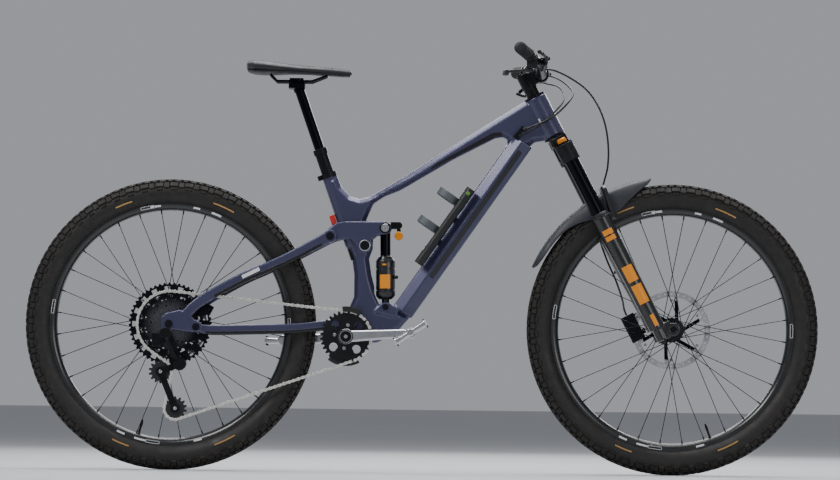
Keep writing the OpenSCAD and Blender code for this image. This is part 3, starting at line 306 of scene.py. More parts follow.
def make_materials(scene):
    """Every finish on the bike, named for what it is made of, and a dark paint that also stands for painted
    shade.
    """
    paint = tuple(scene.bike_frame.paint) + (1.0,)
    accent = tuple(scene.bike_frame.accent) + (1.0,)
    rubber = tuple(scene.bike_wheels.rubber) + (1.0,)
    cover = tuple(scene.bike_seat.cover) + (1.0,)
    grip = tuple(scene.bike_seat.grip) + (1.0,)
    soil = linear("#5B4A3C")
    MATERIALS.update({
        "paint": metallic_paint("Metallic paint on carbon", paint, linear("#7F80AE")),
        # dark paint for painted shade on the downward faces of the stays and the down tube, and for the dark
        # print bands of the top and down tubes
        "dark_paint": metallic_paint("Dark metallic paint on carbon", linear("#0B0B14"), linear("#1A1B2C")),
        # tread rubber is matt, and dust sits in its pores
        "rubber": surface("Moulded tyre rubber", rubber, 0.78, grain=0.8, depth=0.12, spread=0.25,
                          patch=24, edge=0.6, dust=soil, dust_share=0.22),
        # the casing is smoother than the tread, with fine moulded threads
        "sidewall": surface("Tyre sidewall rubber", shade(rubber, 0.7), 0.55, grain=0.5, depth=0.06,
                            patch=40, dust=soil, dust_share=0.15),
        "rim": woven_carbon("Carbon rim laminate", linear("#0B0C0E")),
        "bar": woven_carbon("Carbon handlebar", linear("#121316")),
        # hard anodising is smooth, dark and slightly warm at its edges
        "anodised": surface("Black anodised aluminium", linear("#0E0F11"), 0.34, metallic=0.6, grain=0.3,
                            depth=0.008, spread=0.15, edge=0.6),
        "satin": surface("Satin black anodised aluminium", linear("#131417"), 0.42, metallic=0.5,
                         grain=0.4, depth=0.01, edge=0.6),
        "lowers": surface("Gloss black paint on magnesium", linear("#08090A"), 0.3, grain=1.2,
                          depth=0.006, spread=0.2, edge=0.8,
                          **{"Coat Weight": 0.5, "Coat Roughness": 0.1}),
        "stanchion": brushed("Hard black coated tube", linear("#141519"), 0.16, (1, 1, 0.08),
                             metallic=0.9, depth=0.003, spread=0.05, rough_spread=0.03, edge=0.3),
        "silver": surface("Polished forged aluminium", linear("#C6C8CC"), 0.2, metallic=1.0, grain=1.2,
                          depth=0.002, spread=0.05, rough_spread=0.06, edge=0.5),
        "steel": surface("Bare stainless steel", linear("#B4B6BA"), 0.25, metallic=1.0, grain=0.4,
                         depth=0.008, spread=0.08, edge=0.3),
        "bolt": surface("Bright steel bolt", linear("#A9ABB0"), 0.3, metallic=1.0, grain=0.3,
                        depth=0.006, spread=0.1, edge=0.25),
        "dark_bolt": surface("Blackened steel bolt", linear("#25262A"), 0.34, metallic=0.9, grain=0.3,
                             depth=0.006, edge=0.25),
        "chain": surface("Nickel plated chain steel", linear("#E2E0DA"), 0.3, metallic=0.75, grain=0.6,
                         depth=0.01, spread=0.14, patch=12, edge=0.2),
        "black_plastic": surface("Moulded black nylon", linear("#0F1011"), 0.5, grain=0.5, depth=0.03,
                                 edge=0.6),
        "grip": surface("Soft moulded grip rubber", grip, 0.82, grain=0.6, depth=0.05, edge=0.5),
        "guard": surface("Flexible moulded polypropylene", linear("#252B33"), 0.48, grain=0.6, depth=0.04,
                         spread=0.14, patch=50, edge=0.5, dust=soil, dust_share=0.25),
        "accent": surface("Orange anodised aluminium", accent, 0.32, metallic=0.35, grain=0.4,
                          depth=0.006, spread=0.06, edge=0.5),
        "graphic": surface("Orange printed film", accent, 0.4, grain=0.8, depth=0.004, spread=0.05,
                           edge=0.2),
        "white_film": surface("White printed film", linear("#D9DBDE"), 0.42, grain=0.8, depth=0.004,
                              spread=0.05, edge=0.1, dust=soil, dust_share=0.2),
        "tan_film": surface("Tan printed sidewall mark", linear("#A9824A"), 0.6, grain=0.8, depth=0.004,
                            spread=0.1, edge=0.1),
        "hose": surface("Black nylon hose sheath", linear("#121214"), 0.38, grain=0.5, depth=0.015,
                        edge=0.1),
        # microfibre cover: a pebbled grain about a millimetre across
        "cover": surface("Pebbled microfibre cover", cover, 0.58, grain=1.1, depth=0.09, spread=0.14,
                         edge=0.4, **{"Sheen Weight": 0.25, "Sheen Roughness": 0.4}),
        "cage_grey": surface("Grey glass-filled nylon", linear("#4C5257"), 0.5, grain=0.5, depth=0.03,
                             edge=0.6),
        "red_lens": surface("Red acrylic lens", linear("#C11F14"), 0.18, grain=2.0, depth=0.05,
                            spread=0.2, edge=0.4, **{"Coat Weight": 0.8}),
        "green": surface("Green moulded button", linear("#4E8A2A"), 0.4, grain=0.6, depth=0.01, edge=0.3),
        "front_disc": wheel_material("Front brake disc steel", FRONT_AXLE, linear("#16171A"),
                                     linear("#C9CACD"), 77, 78, rough=0.24, metallic=1.0, depth=0.01,
                                     spread=0.08, edge=0.2),
        "rear_disc": wheel_material("Rear brake disc steel", REAR_AXLE, linear("#16171A"),
                                    linear("#B9BABD"), 66, 67, rough=0.24, metallic=1.0, depth=0.01,
                                    spread=0.08, edge=0.2),
        # the large cogs are blackened, and the small ones are bright nickel
        "cassette": wheel_material("Cassette tool steel", REAR_AXLE, linear("#5E5F64"),
                                   linear("#232428"), 40, 70, rough=0.3, metallic=1.0, depth=0.01,
                                   spread=0.15, edge=0.2),
    })


# ---- Mesh making, in millimetres ----

def piece(name, points, faces):
    """A mesh object from points in millimetres, with its doubles merged and its faces outwards."""
    mesh = bpy.data.meshes.new(name)
    mesh.from_pydata([[c * MM for c in p] for p in points], [], faces)
    bm = bmesh.new()
    bm.from_mesh(mesh)
    bmesh.ops.remove_doubles(bm, verts=bm.verts, dist=1e-6)
    bmesh.ops.recalc_face_normals(bm, faces=bm.faces)
    bm.to_mesh(mesh)
    bm.free()
    obj = bpy.data.objects.new(name, mesh)
    bpy.context.scene.collection.objects.link(obj)
    return obj


def skin(rings, closed=False):
    """Points and faces that join rings of equal length, capped at both ends unless the row is closed."""
    n, last = len(rings[0]), len(rings)
    points = [p for ring in rings for p in ring]
    faces = []
    for i in range(last if closed else last - 1):
        j = (i + 1) % last
        for k in range(n):
            m = (k + 1) % n
            faces.append((i * n + k, i * n + m, j * n + m, j * n + k))
    if not closed:
        faces += [tuple(range(n)), tuple((last - 1) * n + k for k in reversed(range(n)))]
    return points, faces


def lathe(name, outline, origin, axis=(0, 1, 0), steps=64):
    """A closed outline of (radius, along) turned round an axis through origin."""
    axis = Vector(axis).normalized()
    u = axis.orthogonal().normalized()
    v = axis.cross(u)
    rings = []
    for k in range(steps):
        a = 2 * math.pi * k / steps
        out = u * math.cos(a) + v * math.sin(a)
        rings.append([Vector(origin) + out * r + axis * s for r, s in outline])
    return piece(name, *skin(rings, closed=True))


def solid_lathe(name, profile, origin, axis=(0, 1, 0), steps=48):
    """A solid of revolution from a profile of (radius, along), closed on its axis at both ends."""
    outline = [(0, profile[0][1])] + list(profile) + [(0, profile[-1][1])]
    return lathe(name, outline, origin, axis, steps)


def inset(outline, gap):
    """An outline moved inwards by gap, corner by corner."""
    n = len(outline)
    area = sum(outline[i][0] * outline[(i + 1) % n][1] - outline[(i + 1) % n][0] * outline[i][1]
               for i in range(n))
    side = 1 if area > 0 else -1
    moved = []
    for i in range(n):
        before, here, after = (Vector(outline[(i + k) % n]) for k in (-1, 0, 1))
        d0, d1 = (here - before).normalized(), (after - here).normalized()
        n0, n1 = Vector((-d0.y, d0.x)) * side, Vector((-d1.y, d1.x)) * side
        share = max(0.35, 1 + n0.dot(n1))
        moved.append(here + (n0 + n1) * gap / share)
    return moved


def slab(name, outline, y0, y1, chamfer, both=True):
    """An outline in X and Z made solid from y0 to y1, with its side edges chamfered."""
    small = inset(outline, chamfer)
    layers = [(small if both else outline, y0), (outline, y0 + chamfer if both else y0),
              (outline, y1 - chamfer), (small, y1)]
    rings = [[(p[0], y, p[1]) for p in ring] for ring, y in layers]
    return piece(name, *skin(rings))


def smooth_path(points, parts=6):
    """A smooth curve through points, with parts pieces between each pair."""
    pts = [Vector(p) for p in points]
    made = []
    for i in range(len(pts) - 1):
        a, b, c, d = pts[max(0, i - 1)], pts[i], pts[i + 1], pts[min(len(pts) - 1, i + 2)]
        for k in range(parts):
            t = k / parts
            made.append(0.5 * (2 * b + (c - a) * t + (2 * a - 5 * b + 4 * c - d) * t * t
                               + (3 * b - a - 3 * c + d) * t * t * t))
    return made + [pts[-1]]


def spread_over(values, count):
    """Values given at even steps, read at count places between them."""
    made = []
    for i in range(count):
        t = i / (count - 1) * (len(values) - 1)
        k = min(int(t), len(values) - 2)
        made.append(Vector(values[k]).lerp(Vector(values[k + 1]), t - k))
    return made


def section(kind, w, h):
    """The cross-section of a bar: an octagon, a tube with a ridge along each side, or a round."""
    if kind == "octagon":
        c = min(w, h) * 0.29
        return [(-w / 2, -h / 2 + c), (-w / 2 + c, -h / 2), (w / 2 - c, -h / 2), (w / 2, -h / 2 + c),
                (w / 2, h / 2 - c), (w / 2 - c, h / 2), (-w / 2 + c, h / 2), (-w / 2, h / 2 - c)]
    if kind == "ridged":  # a ridge along each side: the faces above it catch the light
        return [(-w * 0.5, -h * 0.02), (-w * 0.29, -h / 2), (w * 0.29, -h / 2), (w * 0.5, -h * 0.02),
                (w * 0.34, h / 2), (-w * 0.34, h / 2)]
    steps = 20
    return [(w / 2 * math.cos(2 * math.pi * k / steps), h / 2 * math.sin(2 * math.pi * k / steps))
            for k in range(steps)]


def sweep(name, path, sizes, kind="octagon", across=(0, 1, 0)):
    """A bar along a path, w across the bike and h deep, with sizes of (w, h) spread along it."""
    sizes = spread_over(sizes, len(path))
    rings = []
    for i, p in enumerate(path):
        d = (path[min(len(path) - 1, i + 1)] - path[max(0, i - 1)]).normalized()
        side = Vector(across)
        side = (side - d * side.dot(d)).normalized()
        up = side.cross(d)
        rings.append([p + side * a + up * b for a, b in section(kind, *sizes[i])])
    return piece(name, *skin(rings))


def joined(name, parts):
    """Several mesh objects as one, keeping each one's first material."""
    bm = bmesh.new()
    materials = []
    for part in parts:
        first = part.data.materials[0] if part.data.materials else None
        if first not in materials:
            materials.append(first)
        start = len(bm.faces)
        bm.from_mesh(part.data)
        bm.faces.ensure_lookup_table()
        for face in bm.faces[start:]:
            face.material_index = materials.index(first)
        bpy.data.objects.remove(part)
    mesh = bpy.data.meshes.new(name)
    bm.to_mesh(mesh)
    bm.free()
    for material in materials:
        if material:
            mesh.materials.append(material)
    obj = bpy.data.objects.new(name, mesh)
    bpy.context.scene.collection.objects.link(obj)
    return obj


def settle(obj):
    """Makes the modifiers' result the piece's own mesh."""
    graph = bpy.context.evaluated_depsgraph_get()
    mesh = bpy.data.meshes.new_from_object(obj.evaluated_get(graph))
    obj.modifiers.clear()
    obj.data = mesh
    mesh.name = obj.name
    return obj


def fused(name, parts, voxel, rounds, cutters=()):
    """Parts melted into one moulding with softened corners, then cut by the cutters."""
    obj = joined(name, parts)
    melt = obj.modifiers.new("melt", "REMESH")
    melt.mode, melt.voxel_size, melt.adaptivity = "VOXEL", voxel * MM, 0.0
    soften = obj.modifiers.new("soften", "SMOOTH")
    soften.factor, soften.iterations = 0.5, rounds
    settle(obj)
    for cutter in cutters:
        cut = obj.modifiers.new("cut", "BOOLEAN")
        cut.operation, cut.solver, cut.object = "DIFFERENCE", "MANIFOLD", cutter
        settle(obj)
        bpy.data.objects.remove(cutter)
    return obj


def cad_copy(name, *nodes):
    """A merged copy of CAD nodes, to be worked on as a piece."""
    bm = bmesh.new()
    for node in nodes:
        bm.from_mesh(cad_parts[node].data)
    bmesh.ops.remove_doubles(bm, verts=bm.verts, dist=2e-6)
    mesh = bpy.data.meshes.new(name)
    bm.to_mesh(mesh)
    bm.free()
    obj = bpy.data.objects.new(name, mesh)
    bpy.context.scene.collection.objects.link(obj)
    return obj


def dress(obj, body, material, stands_for=(), crease=38):
    """Gives a finished piece its material and shading, and puts it on its body."""
    if material:
        obj.data.materials.clear()
        obj.data.materials.append(MATERIALS[material])
    obj.data.shade_smooth()
    if crease < 180:
        obj.data.set_sharp_from_angle(angle=math.radians(crease))
    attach(obj, body)
    if stands_for:
        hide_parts(*stands_for)
    return obj


def moulded(name, node, body, material, voxel, rounds=5):
    """A CAD node's shape melted into a cast or moulded piece with rounded edges, in its place."""
    obj = fused(name, [cad_copy(name + "_copy", node)], voxel, rounds)
    return dress(obj, body, material, [node], crease=180)


def repaint(material, *nodes):
    """A CAD node that keeps its shape gets its finish."""
    for node in nodes:
        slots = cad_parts[node].data.materials
        slots.clear()
        slots.append(MATERIALS[material])


# ---- Geometry Nodes ----

def new_tree(name, inputs):
    """An empty tree with a geometry input, the named inputs and a geometry output."""
    tree = bpy.data.node_groups.new(name, "GeometryNodeTree")
    for label, kind in [("Geometry", "Geometry"), *inputs]:
        tree.interface.new_socket(name=label, in_out="INPUT", socket_type="NodeSocket" + kind)
    tree.interface.new_socket(name="Geometry", in_out="OUTPUT", socket_type="NodeSocketGeometry")
    return tree, add(tree, "NodeGroupInput").outputs


def end_tree(tree, geometry, material):
    """Ends a tree in real geometry with its material."""
    real = add(tree, "GeometryNodeRealizeInstances", {0: geometry})
    painted = add(tree, "GeometryNodeSetMaterial", {"Geometry": real.outputs[0], "Material": material})
    add(tree, "NodeGroupOutput", {0: painted.outputs[0]})
    return tree


def grown(name, tree, host=None, **values):
    """Runs a tree and returns its result as a plain mesh object. Inputs are named with _ for a space."""
    host = host or piece(name, [], [])
    host.name = name
    run = host.modifiers.new("grow", "NODES")
    run.node_group = tree
    for item in tree.interface.items_tree:
        key = item.name.replace(" ", "_")
        if item.in_out == "INPUT" and key in values:
            run[item.identifier] = values[key]
    return settle(host)


def calc(tree, operation, a, b=0.0):
    """One sum of two numbers or fields."""
    return add(tree, "ShaderNodeMath", {0: a, 1: b}, operation=operation).outputs[0]


def round_place(tree, angle, radius, offset, centre):
    """The point at an angle and radius about an axle, off its middle plane by offset."""
    flat = add(tree, "ShaderNodeCombineXYZ", {
        0: calc(tree, "MULTIPLY", calc(tree, "SINE", angle), radius), 1: offset,
        2: calc(tree, "MULTIPLY", calc(tree, "COSINE", angle), radius)})
    return add(tree, "ShaderNodeVectorMath", {0: flat.outputs[0], 1: centre}, operation="ADD").outputs[0]


def turn_of(tree, count, phase):
    """The angle of each point of a full ring of count points."""
    index = add(tree, "GeometryNodeInputIndex").outputs[0]
    share = calc(tree, "DIVIDE", calc(tree, "ADD", index, phase), count)
    return calc(tree, "MULTIPLY", share, 2 * math.pi)


def knob_tree():
    """A ring of tapered blocks about an axle, leaning outwards."""
    tree, given = new_tree("tyre knobs", [
        ("Count", "Int"), ("Phase", "Float"), ("Radius", "Float"), ("Offset", "Float"), ("Lean", "Float"),
        ("Block", "Vector"), ("Taper", "Float"), ("Centre", "Vector"), ("Material", "Material")])
    angle = turn_of(tree, given["Count"], given["Phase"])
    spot = round_place(tree, angle, given["Radius"], given["Offset"], given["Centre"])
    points = add(tree, "GeometryNodePoints", {"Count": given["Count"], "Position": spot})
    cube = add(tree, "GeometryNodeMeshCube", {"Size": given["Block"]})
    place = add(tree, "GeometryNodeInputPosition").outputs[0]
    parts = add(tree, "ShaderNodeSeparateXYZ", {0: place})
    top = calc(tree, "GREATER_THAN", parts.outputs[2], 0.0)
    small = add(tree, "ShaderNodeCombineXYZ", {
        0: calc(tree, "MULTIPLY", parts.outputs[0], given["Taper"]),
        1: calc(tree, "MULTIPLY", parts.outputs[1], given["Taper"]), 2: parts.outputs[2]})
    block = add(tree, "GeometryNodeSetPosition", {"Geometry": cube.outputs[0], "Selection": top,
                                                  "Position": small.outputs[0]})
    euler = add(tree, "ShaderNodeCombineXYZ", {0: given["Lean"], 1: angle})
    turned = add(tree, "FunctionNodeEulerToRotation", {0: euler.outputs[0]})
    copies = add(tree, "GeometryNodeInstanceOnPoints", {
        "Points": points.outputs[0], "Instance": block.outputs[0], "Rotation": turned.outputs[0]})
    return end_tree(tree, copies.outputs[0], given["Material"])


def spoke_tree():
    """One side's crossed spokes between a hub flange and a rim, each with its nipple and head."""
    tree, given = new_tree("spokes", [
        ("Count", "Int"), ("Phase", "Float"), ("Cross", "Float"), ("Hub Radius", "Float"),
        ("Hub Offset", "Float"), ("Rim Radius", "Float"), ("Rim Offset", "Float"), ("Width", "Float"),
        ("Nipple", "Float"), ("Centre", "Vector"), ("Material", "Material")])
    angle = turn_of(tree, given["Count"], given["Phase"])
    index = add(tree, "GeometryNodeInputIndex").outputs[0]
    lead = calc(tree, "SUBTRACT", calc(tree, "MULTIPLY", calc(tree, "MODULO", index, 2.0), 2.0), 1.0)
    hub_angle = calc(tree, "ADD", angle, calc(tree, "MULTIPLY", lead, given["Cross"]))
    rim = round_place(tree, angle, given["Rim Radius"], given["Rim Offset"], given["Centre"])
    hub = round_place(tree, hub_angle, given["Hub Radius"], given["Hub Offset"], given["Centre"])
    along = add(tree, "ShaderNodeVectorMath", {0: rim, 1: hub}, operation="SUBTRACT").outputs[0]
    length = add(tree, "ShaderNodeVectorMath", {0: along}, operation="LENGTH").outputs["Value"]
    aim = add(tree, "FunctionNodeAlignRotationToVector", {"Vector": along}, axis="Z").outputs[0]
    half = calc(tree, "MULTIPLY", given["Width"], 0.5)
    shaft = add(tree, "GeometryNodeMeshCylinder", {"Vertices": 8, "Radius": 1.0, "Depth": 1.0})
    raised = add(tree, "GeometryNodeTransform", {"Geometry": shaft.outputs[0], "Translation": (0, 0, 0.5)})
    size = add(tree, "ShaderNodeCombineXYZ", {0: half, 1: half, 2: length})
    at_hub = add(tree, "GeometryNodePoints", {"Count": given["Count"], "Position": hub})
    at_rim = add(tree, "GeometryNodePoints", {"Count": given["Count"], "Position": rim})
    spokes = add(tree, "GeometryNodeInstanceOnPoints", {
        "Points": at_hub.outputs[0], "Instance": raised.outputs[0], "Rotation": aim,
        "Scale": size.outputs[0]})
    cone = add(tree, "GeometryNodeMeshCone", {"Vertices": 8, "Radius Top": calc(
        tree, "MULTIPLY", half, 2.3), "Radius Bottom": calc(tree, "MULTIPLY", half, 1.7),
        "Depth": given["Nipple"]})
    sunk = add(tree, "GeometryNodeTransform", {"Geometry": cone.outputs[0], "Translation": add(
        tree, "ShaderNodeCombineXYZ", {2: calc(tree, "MULTIPLY", given["Nipple"], -0.8)}).outputs[0]})
    nipples = add(tree, "GeometryNodeInstanceOnPoints", {
        "Points": at_rim.outputs[0], "Instance": sunk.outputs[0], "Rotation": aim})
    ball = add(tree, "GeometryNodeMeshIcoSphere", {"Radius": calc(tree, "MULTIPLY", half, 2.0)})
    heads = add(tree, "GeometryNodeInstanceOnPoints", {"Points": at_hub.outputs[0],
                                                       "Instance": ball.outputs[0]})
    both = add(tree, "GeometryNodeJoinGeometry")
    for found in (spokes, nipples, heads):
        tree.links.new(found.outputs[0], both.inputs[0])
    return end_tree(tree, both.outputs[0], given["Material"])


def ring_tree():
    """Copies of one object in a ring about an axle, each facing along Y."""
    tree, given = new_tree("ring of copies", [
        ("Count", "Int"), ("Phase", "Float"), ("Radius", "Float"), ("Offset", "Float"), ("Flip", "Float"),
        ("Part", "Object"), ("Centre", "Vector"), ("Material", "Material")])
    angle = turn_of(tree, given["Count"], given["Phase"])
    spot = round_place(tree, angle, given["Radius"], given["Offset"], given["Centre"])
    points = add(tree, "GeometryNodePoints", {"Count": given["Count"], "Position": spot})
    part = add(tree, "GeometryNodeObjectInfo", {"Object": given["Part"]})
    euler = add(tree, "ShaderNodeCombineXYZ", {0: given["Flip"], 1: angle})
    turned = add(tree, "FunctionNodeEulerToRotation", {0: euler.outputs[0]})
    copies = add(tree, "GeometryNodeInstanceOnPoints", {
        "Points": points.outputs[0], "Instance": part.outputs["Geometry"], "Rotation": turned.outputs[0]})
    return end_tree(tree, copies.outputs[0], given["Material"])


def pin_tree():
    """A short pin standing at each point, tilted about the axle."""
    tree, given = new_tree("pins", [("Radius", "Float"), ("Length", "Float"),
                                    ("Tilt", "Float"), ("Material", "Material")])
    pin = add(tree, "GeometryNodeMeshCylinder", {"Vertices": 10, "Radius": given["Radius"],
                                                 "Depth": given["Length"]})
    euler = add(tree, "ShaderNodeCombineXYZ", {1: given["Tilt"]})
    turned = add(tree, "FunctionNodeEulerToRotation", {0: euler.outputs[0]})
    copies = add(tree, "GeometryNodeInstanceOnPoints", {
        "Points": given["Geometry"], "Instance": pin.outputs[0], "Rotation": turned.outputs[0]})
    return end_tree(tree, copies.outputs[0], given["Material"])


def chain_tree():
    """Links in turn, outer then inner, along the closed path that the tree is given."""
    tree, given = new_tree("chain links", [("Links", "Int"), ("Outer Link", "Object"),
                                           ("Inner Link", "Object"), ("Material", "Material")])
    path = add(tree, "GeometryNodeMeshToCurve", {0: given["Geometry"]})
    points = add(tree, "GeometryNodeCurveToPoints", {"Curve": path.outputs[0], "Count": given["Links"]})
    aim = add(tree, "FunctionNodeAlignRotationToVector", {"Vector": points.outputs["Tangent"]}, axis="X",
              pivot_axis="Y").outputs[0]
    index = add(tree, "GeometryNodeInputIndex").outputs[0]
    odd = calc(tree, "GREATER_THAN", calc(tree, "MODULO", index, 2.0), 0.5)
    even = calc(tree, "LESS_THAN", calc(tree, "MODULO", index, 2.0), 0.5)
    both = add(tree, "GeometryNodeJoinGeometry")
    for which, pick in (("Outer Link", odd), ("Inner Link", even)):
        part = add(tree, "GeometryNodeObjectInfo", {"Object": given[which]})
        links = add(tree, "GeometryNodeInstanceOnPoints", {
            "Points": points.outputs[0], "Selection": pick, "Instance": part.outputs["Geometry"],
            "Rotation": aim})
        tree.links.new(links.outputs[0], both.inputs[0])
    return end_tree(tree, both.outputs[0], given["Material"])


# ---- Small shared shapes ----

def bolt_head(name, radius, height):
    """A socket-head bolt that stands out along +Y from its seat, with a six-sided recess."""
    return solid_lathe(name, [(radius, 0), (radius, height * 0.75), (radius * 0.86, height),
                              (radius * 0.5, height), (radius * 0.46, height * 0.35)], (0, 0, 0), steps=12)


def ring_of(name, part, centre, radius, offset, count, material, phase=0.0, facing=1):
    """Copies of a part round an axle, facing left or right, as one mesh."""
    return grown(name, TREES["ring"], Count=count, Phase=phase, Radius=radius * MM, Offset=offset * MM,
                 Flip=0.0 if facing > 0 else math.pi, Part=part, Centre=Vector(centre) * MM,
                 Material=MATERIALS[material])


def sector(name, centre, r0, r1, y, thick, a0, a1, steps=16):
    """A thin curved patch between two radii and two angles, in degrees anticlockwise from +X."""
    rings = []
    for k in range(steps + 1):
        a = math.radians(a0 + (a1 - a0) * k / steps)
        d = Vector((math.cos(a), 0, math.sin(a)))
        rings.append([centre + d * r + Vector((0, s - centre.y, 0))
                      for r, s in ((r0, y), (r0, y + thick), (r1, y + thick), (r1, y))])
    return piece(name, *skin(rings))


def sector_frame(name, centre, r0, r1, y, thick, middle, half, line):
    """The outline of a curved rectangle, drawn with four thin patches."""
    lean = math.degrees(line / ((r0 + r1) / 2))
    parts = [sector(name + "_a", centre, r0, r0 + line, y, thick, middle - half, middle + half),
             sector(name + "_b", centre, r1 - line, r1, y, thick, middle - half, middle + half),
             sector(name + "_c", centre, r0, r1, y, thick, middle - half, middle - half + lean, 2),
             sector(name + "_d", centre, r0, r1, y, thick, middle + half - lean, middle + half, 2)]
    return joined(name, parts)


TREES = {}


# ---- The pieces ----

class BIKE_OT_finishes(Operator):
    """Makes every material and every node tree that the pieces share"""
    bl_idname = "bike.finishes"
    bl_label = "Finishes"

    def execute(self, context):
        make_materials(context.scene)
        TREES.update(knobs=knob_tree(), spokes=spoke_tree(), ring=ring_tree(), chain=chain_tree(),
                     pins=pin_tree())
        return {"FINISHED"}


class BIKE_OT_tyres(Operator):
    """Knobbly tyres: a hollow casing, and five rings of tread blocks on each side of the middle"""
    bl_idname = "bike.tyres"
    bl_label = "Tyres"

    # half of a casing's outline as (radius below the tread top, share of half width)
    CASING = ((64.5, 0.42), (60, 0.62), (50, 0.86), (38, 0.965), (28, 0.965), (18, 0.86), (10.5, 0.64),
              (7.2, 0.36), (6.2, 0.12))
    # ring of blocks: depth of its middle, place across, lean, length, width, phase, side
    ROWS = ((3.2, 7.4, 6, 21, 12, 0.0), (3.4, 9, 8, 14, 9.5, 0.5), (6.4, 18, 24, 17, 9, 0.26),
            (6.2, 17.6, 24, 12, 8, 0.74), (14.8, 26, 54, 24, 13, 0.02), (16.4, 26, 56, 15, 17, 0.52),
            (25, 28.2, 74, 18, 8, 0.02))

    def execute(self, context):
        settings = context.scene.bike_wheels
        for side, centre in (("front", FRONT_AXLE), ("rear", REAR_AXLE)):
            axle = axle_of(centre)
            outer = [(TYRE_R - d, TYRE_HALF * w) for d, w in self.CASING]
            inner = [(r - 3, max(0, y - 3)) for r, y in outer[1:]]
            ring = outer + [(r, -y) for r, y in outer[::-1]] + [(r, -y) for r, y in inner] + inner[::-1]
            casing = lathe(side + "_tyre_casing", ring, axle, steps=128)
            dress(casing, side + "_wheel", "sidewall", [side + "_tyre"], crease=60)
            rows = []
            for depth, across, lean, length, width, phase in self.ROWS:
                for hand in (1, -1):
                    rows.append(grown(
                        "row", TREES["knobs"], Count=settings.knob_count,
                        Phase=phase + (0.12 if hand < 0 else 0), Radius=(TYRE_R - depth) * MM,
                        Offset=hand * across * MM, Lean=-hand * math.radians(lean),
                        Block=(length * MM, width * MM, settings.knob_height), Taper=0.84,
                        Centre=axle * MM, Material=MATERIALS["rubber"]))
            tread = joined(side + "_tyre_tread", rows)
            dress(tread, side + "_wheel", "rubber", crease=20)
            marks = [sector("mark", axle, 330, 333.5, s * 30.1 - 0.3, 0.6, a - w, a + w, 24)
                     for s in (-1, 1) for a, w in ((66, 5), (112, 4), (-64, 5), (-112, 4))]
            film = joined(side + "_tyre_marks", marks)
            dress(film, side + "_wheel", "tan_film")
        return {"FINISHED"}


class BIKE_OT_wheels(Operator):
    """Carbon rims with their marks and valves, crossed spokes, hubs and brake discs"""
    bl_idname = "bike.wheels"
    bl_label = "Wheels"

    RIM = ((313.5, 17.4), (313.5, 14.6), (309, 13.8), (306.5, 8), (305, 0), (306.5, -8), (309, -13.8),
           (313.5, -14.6), (313.5, -17.4), (309, -17.5), (303, -15.8), (297.5, -11.5), (294.3, -5),
           (294, 0), (294.3, 5), (297.5, 11.5), (303, 15.8), (309, 17.5))

    def execute(self, context):
        settings = context.scene.bike_wheels
        # each hub flange as (place across, radius)
        wheels = {"front": (FRONT_AXLE, (26, 29.2), (-35, 27.2)),
                  "rear": (REAR_AXLE, (38, 29.2), (-16, 29.2))}
        for side, (centre, *flanges) in wheels.items():
            axle, body = axle_of(centre), side + "_wheel"
            rim = lathe(side + "_rim_laminate", self.RIM, axle, steps=160)
            dress(rim, body, "rim", [side + "_rim"], crease=60)
            marks = []
            for s in (-1, 1):
                y = s * 17.2 - 0.35
                for a in (0, 172, 90 - 12 * s, 262):
                    marks.append(sector_frame("mark", axle, 303.4, 311, y, 0.7, a, 3.4, 1.1))
                for a, w in ((68, 5), (78, 3.2), (98, 5), (246, 4), (256, 6), (284, 4)):
                    marks.append(sector("mark", axle, 304.6, 309.4, y, 0.7, a - w / 2, a + w / 2, 8))
            dress(joined(side + "_rim_marks", marks), body, "white_film")
            lace = []
            for n, (offset, radius) in enumerate(flanges):
                lace.append(grown(
                    "lace", TREES["spokes"], Count=settings.spoke_count, Phase=0.5 * n + 0.25, Cross=1.17,
                    Hub_Radius=(radius - 1.5) * MM, Hub_Offset=offset * MM, Rim_Radius=296 * MM,
                    Rim_Offset=(3 if offset > 0 else -3) * MM, Width=settings.spoke_width,
                    Nipple=13 * MM, Centre=axle * MM, Material=MATERIALS["dark_bolt"]))
            dress(joined(side + "_spokes_laced", lace), body, "dark_bolt",
                  [side + "_spokes"], crease=50)
            down = Vector((0.34, 0, -0.94) if side == "front" else (-0.27, 0, -0.963))
            out = -down.normalized()
            foot = axle + down.normalized() * 294.5
            valve = solid_lathe(side + "_valve", [(5.2, 0), (5.2, 2), (3, 2.4), (3, 20), (3.6, 20.6),
                                                  (3.6, 30), (2.6, 33), (1.6, 38)], foot, out, 16)
            dress(valve, body, "anodised")
            repaint("anodised", side + "_hub")
            repaint(side + "_disc", side + "_rotor")
            bolt = bolt_head("bolt", 4.4, 2.6)
            disc = middle_of(side + "_rotor")
            bolts = ring_of(side + "_disc_bolts", bolt, axle, 22, disc.y + 0.9, 6, "bolt", 0.2)
            bpy.data.objects.remove(bolt)
            dress(bolts, body, "bolt")
            rivet = solid_lathe("rivet", [(4.2, -1.5), (4.2, 1.3), (3, 1.9), (2.2, 1.9), (2, 1.2)],
                                (0, 0, 0), steps=12)
            rivets = ring_of(side + "_disc_rivets", rivet, axle, 77.5 if side == "front" else 66.5, disc.y, 6,
                             "steel")
            bpy.data.objects.remove(rivet)
            dress(rivets, body, "steel")
        repaint("anodised", "front_axle")
        return {"FINISHED"}


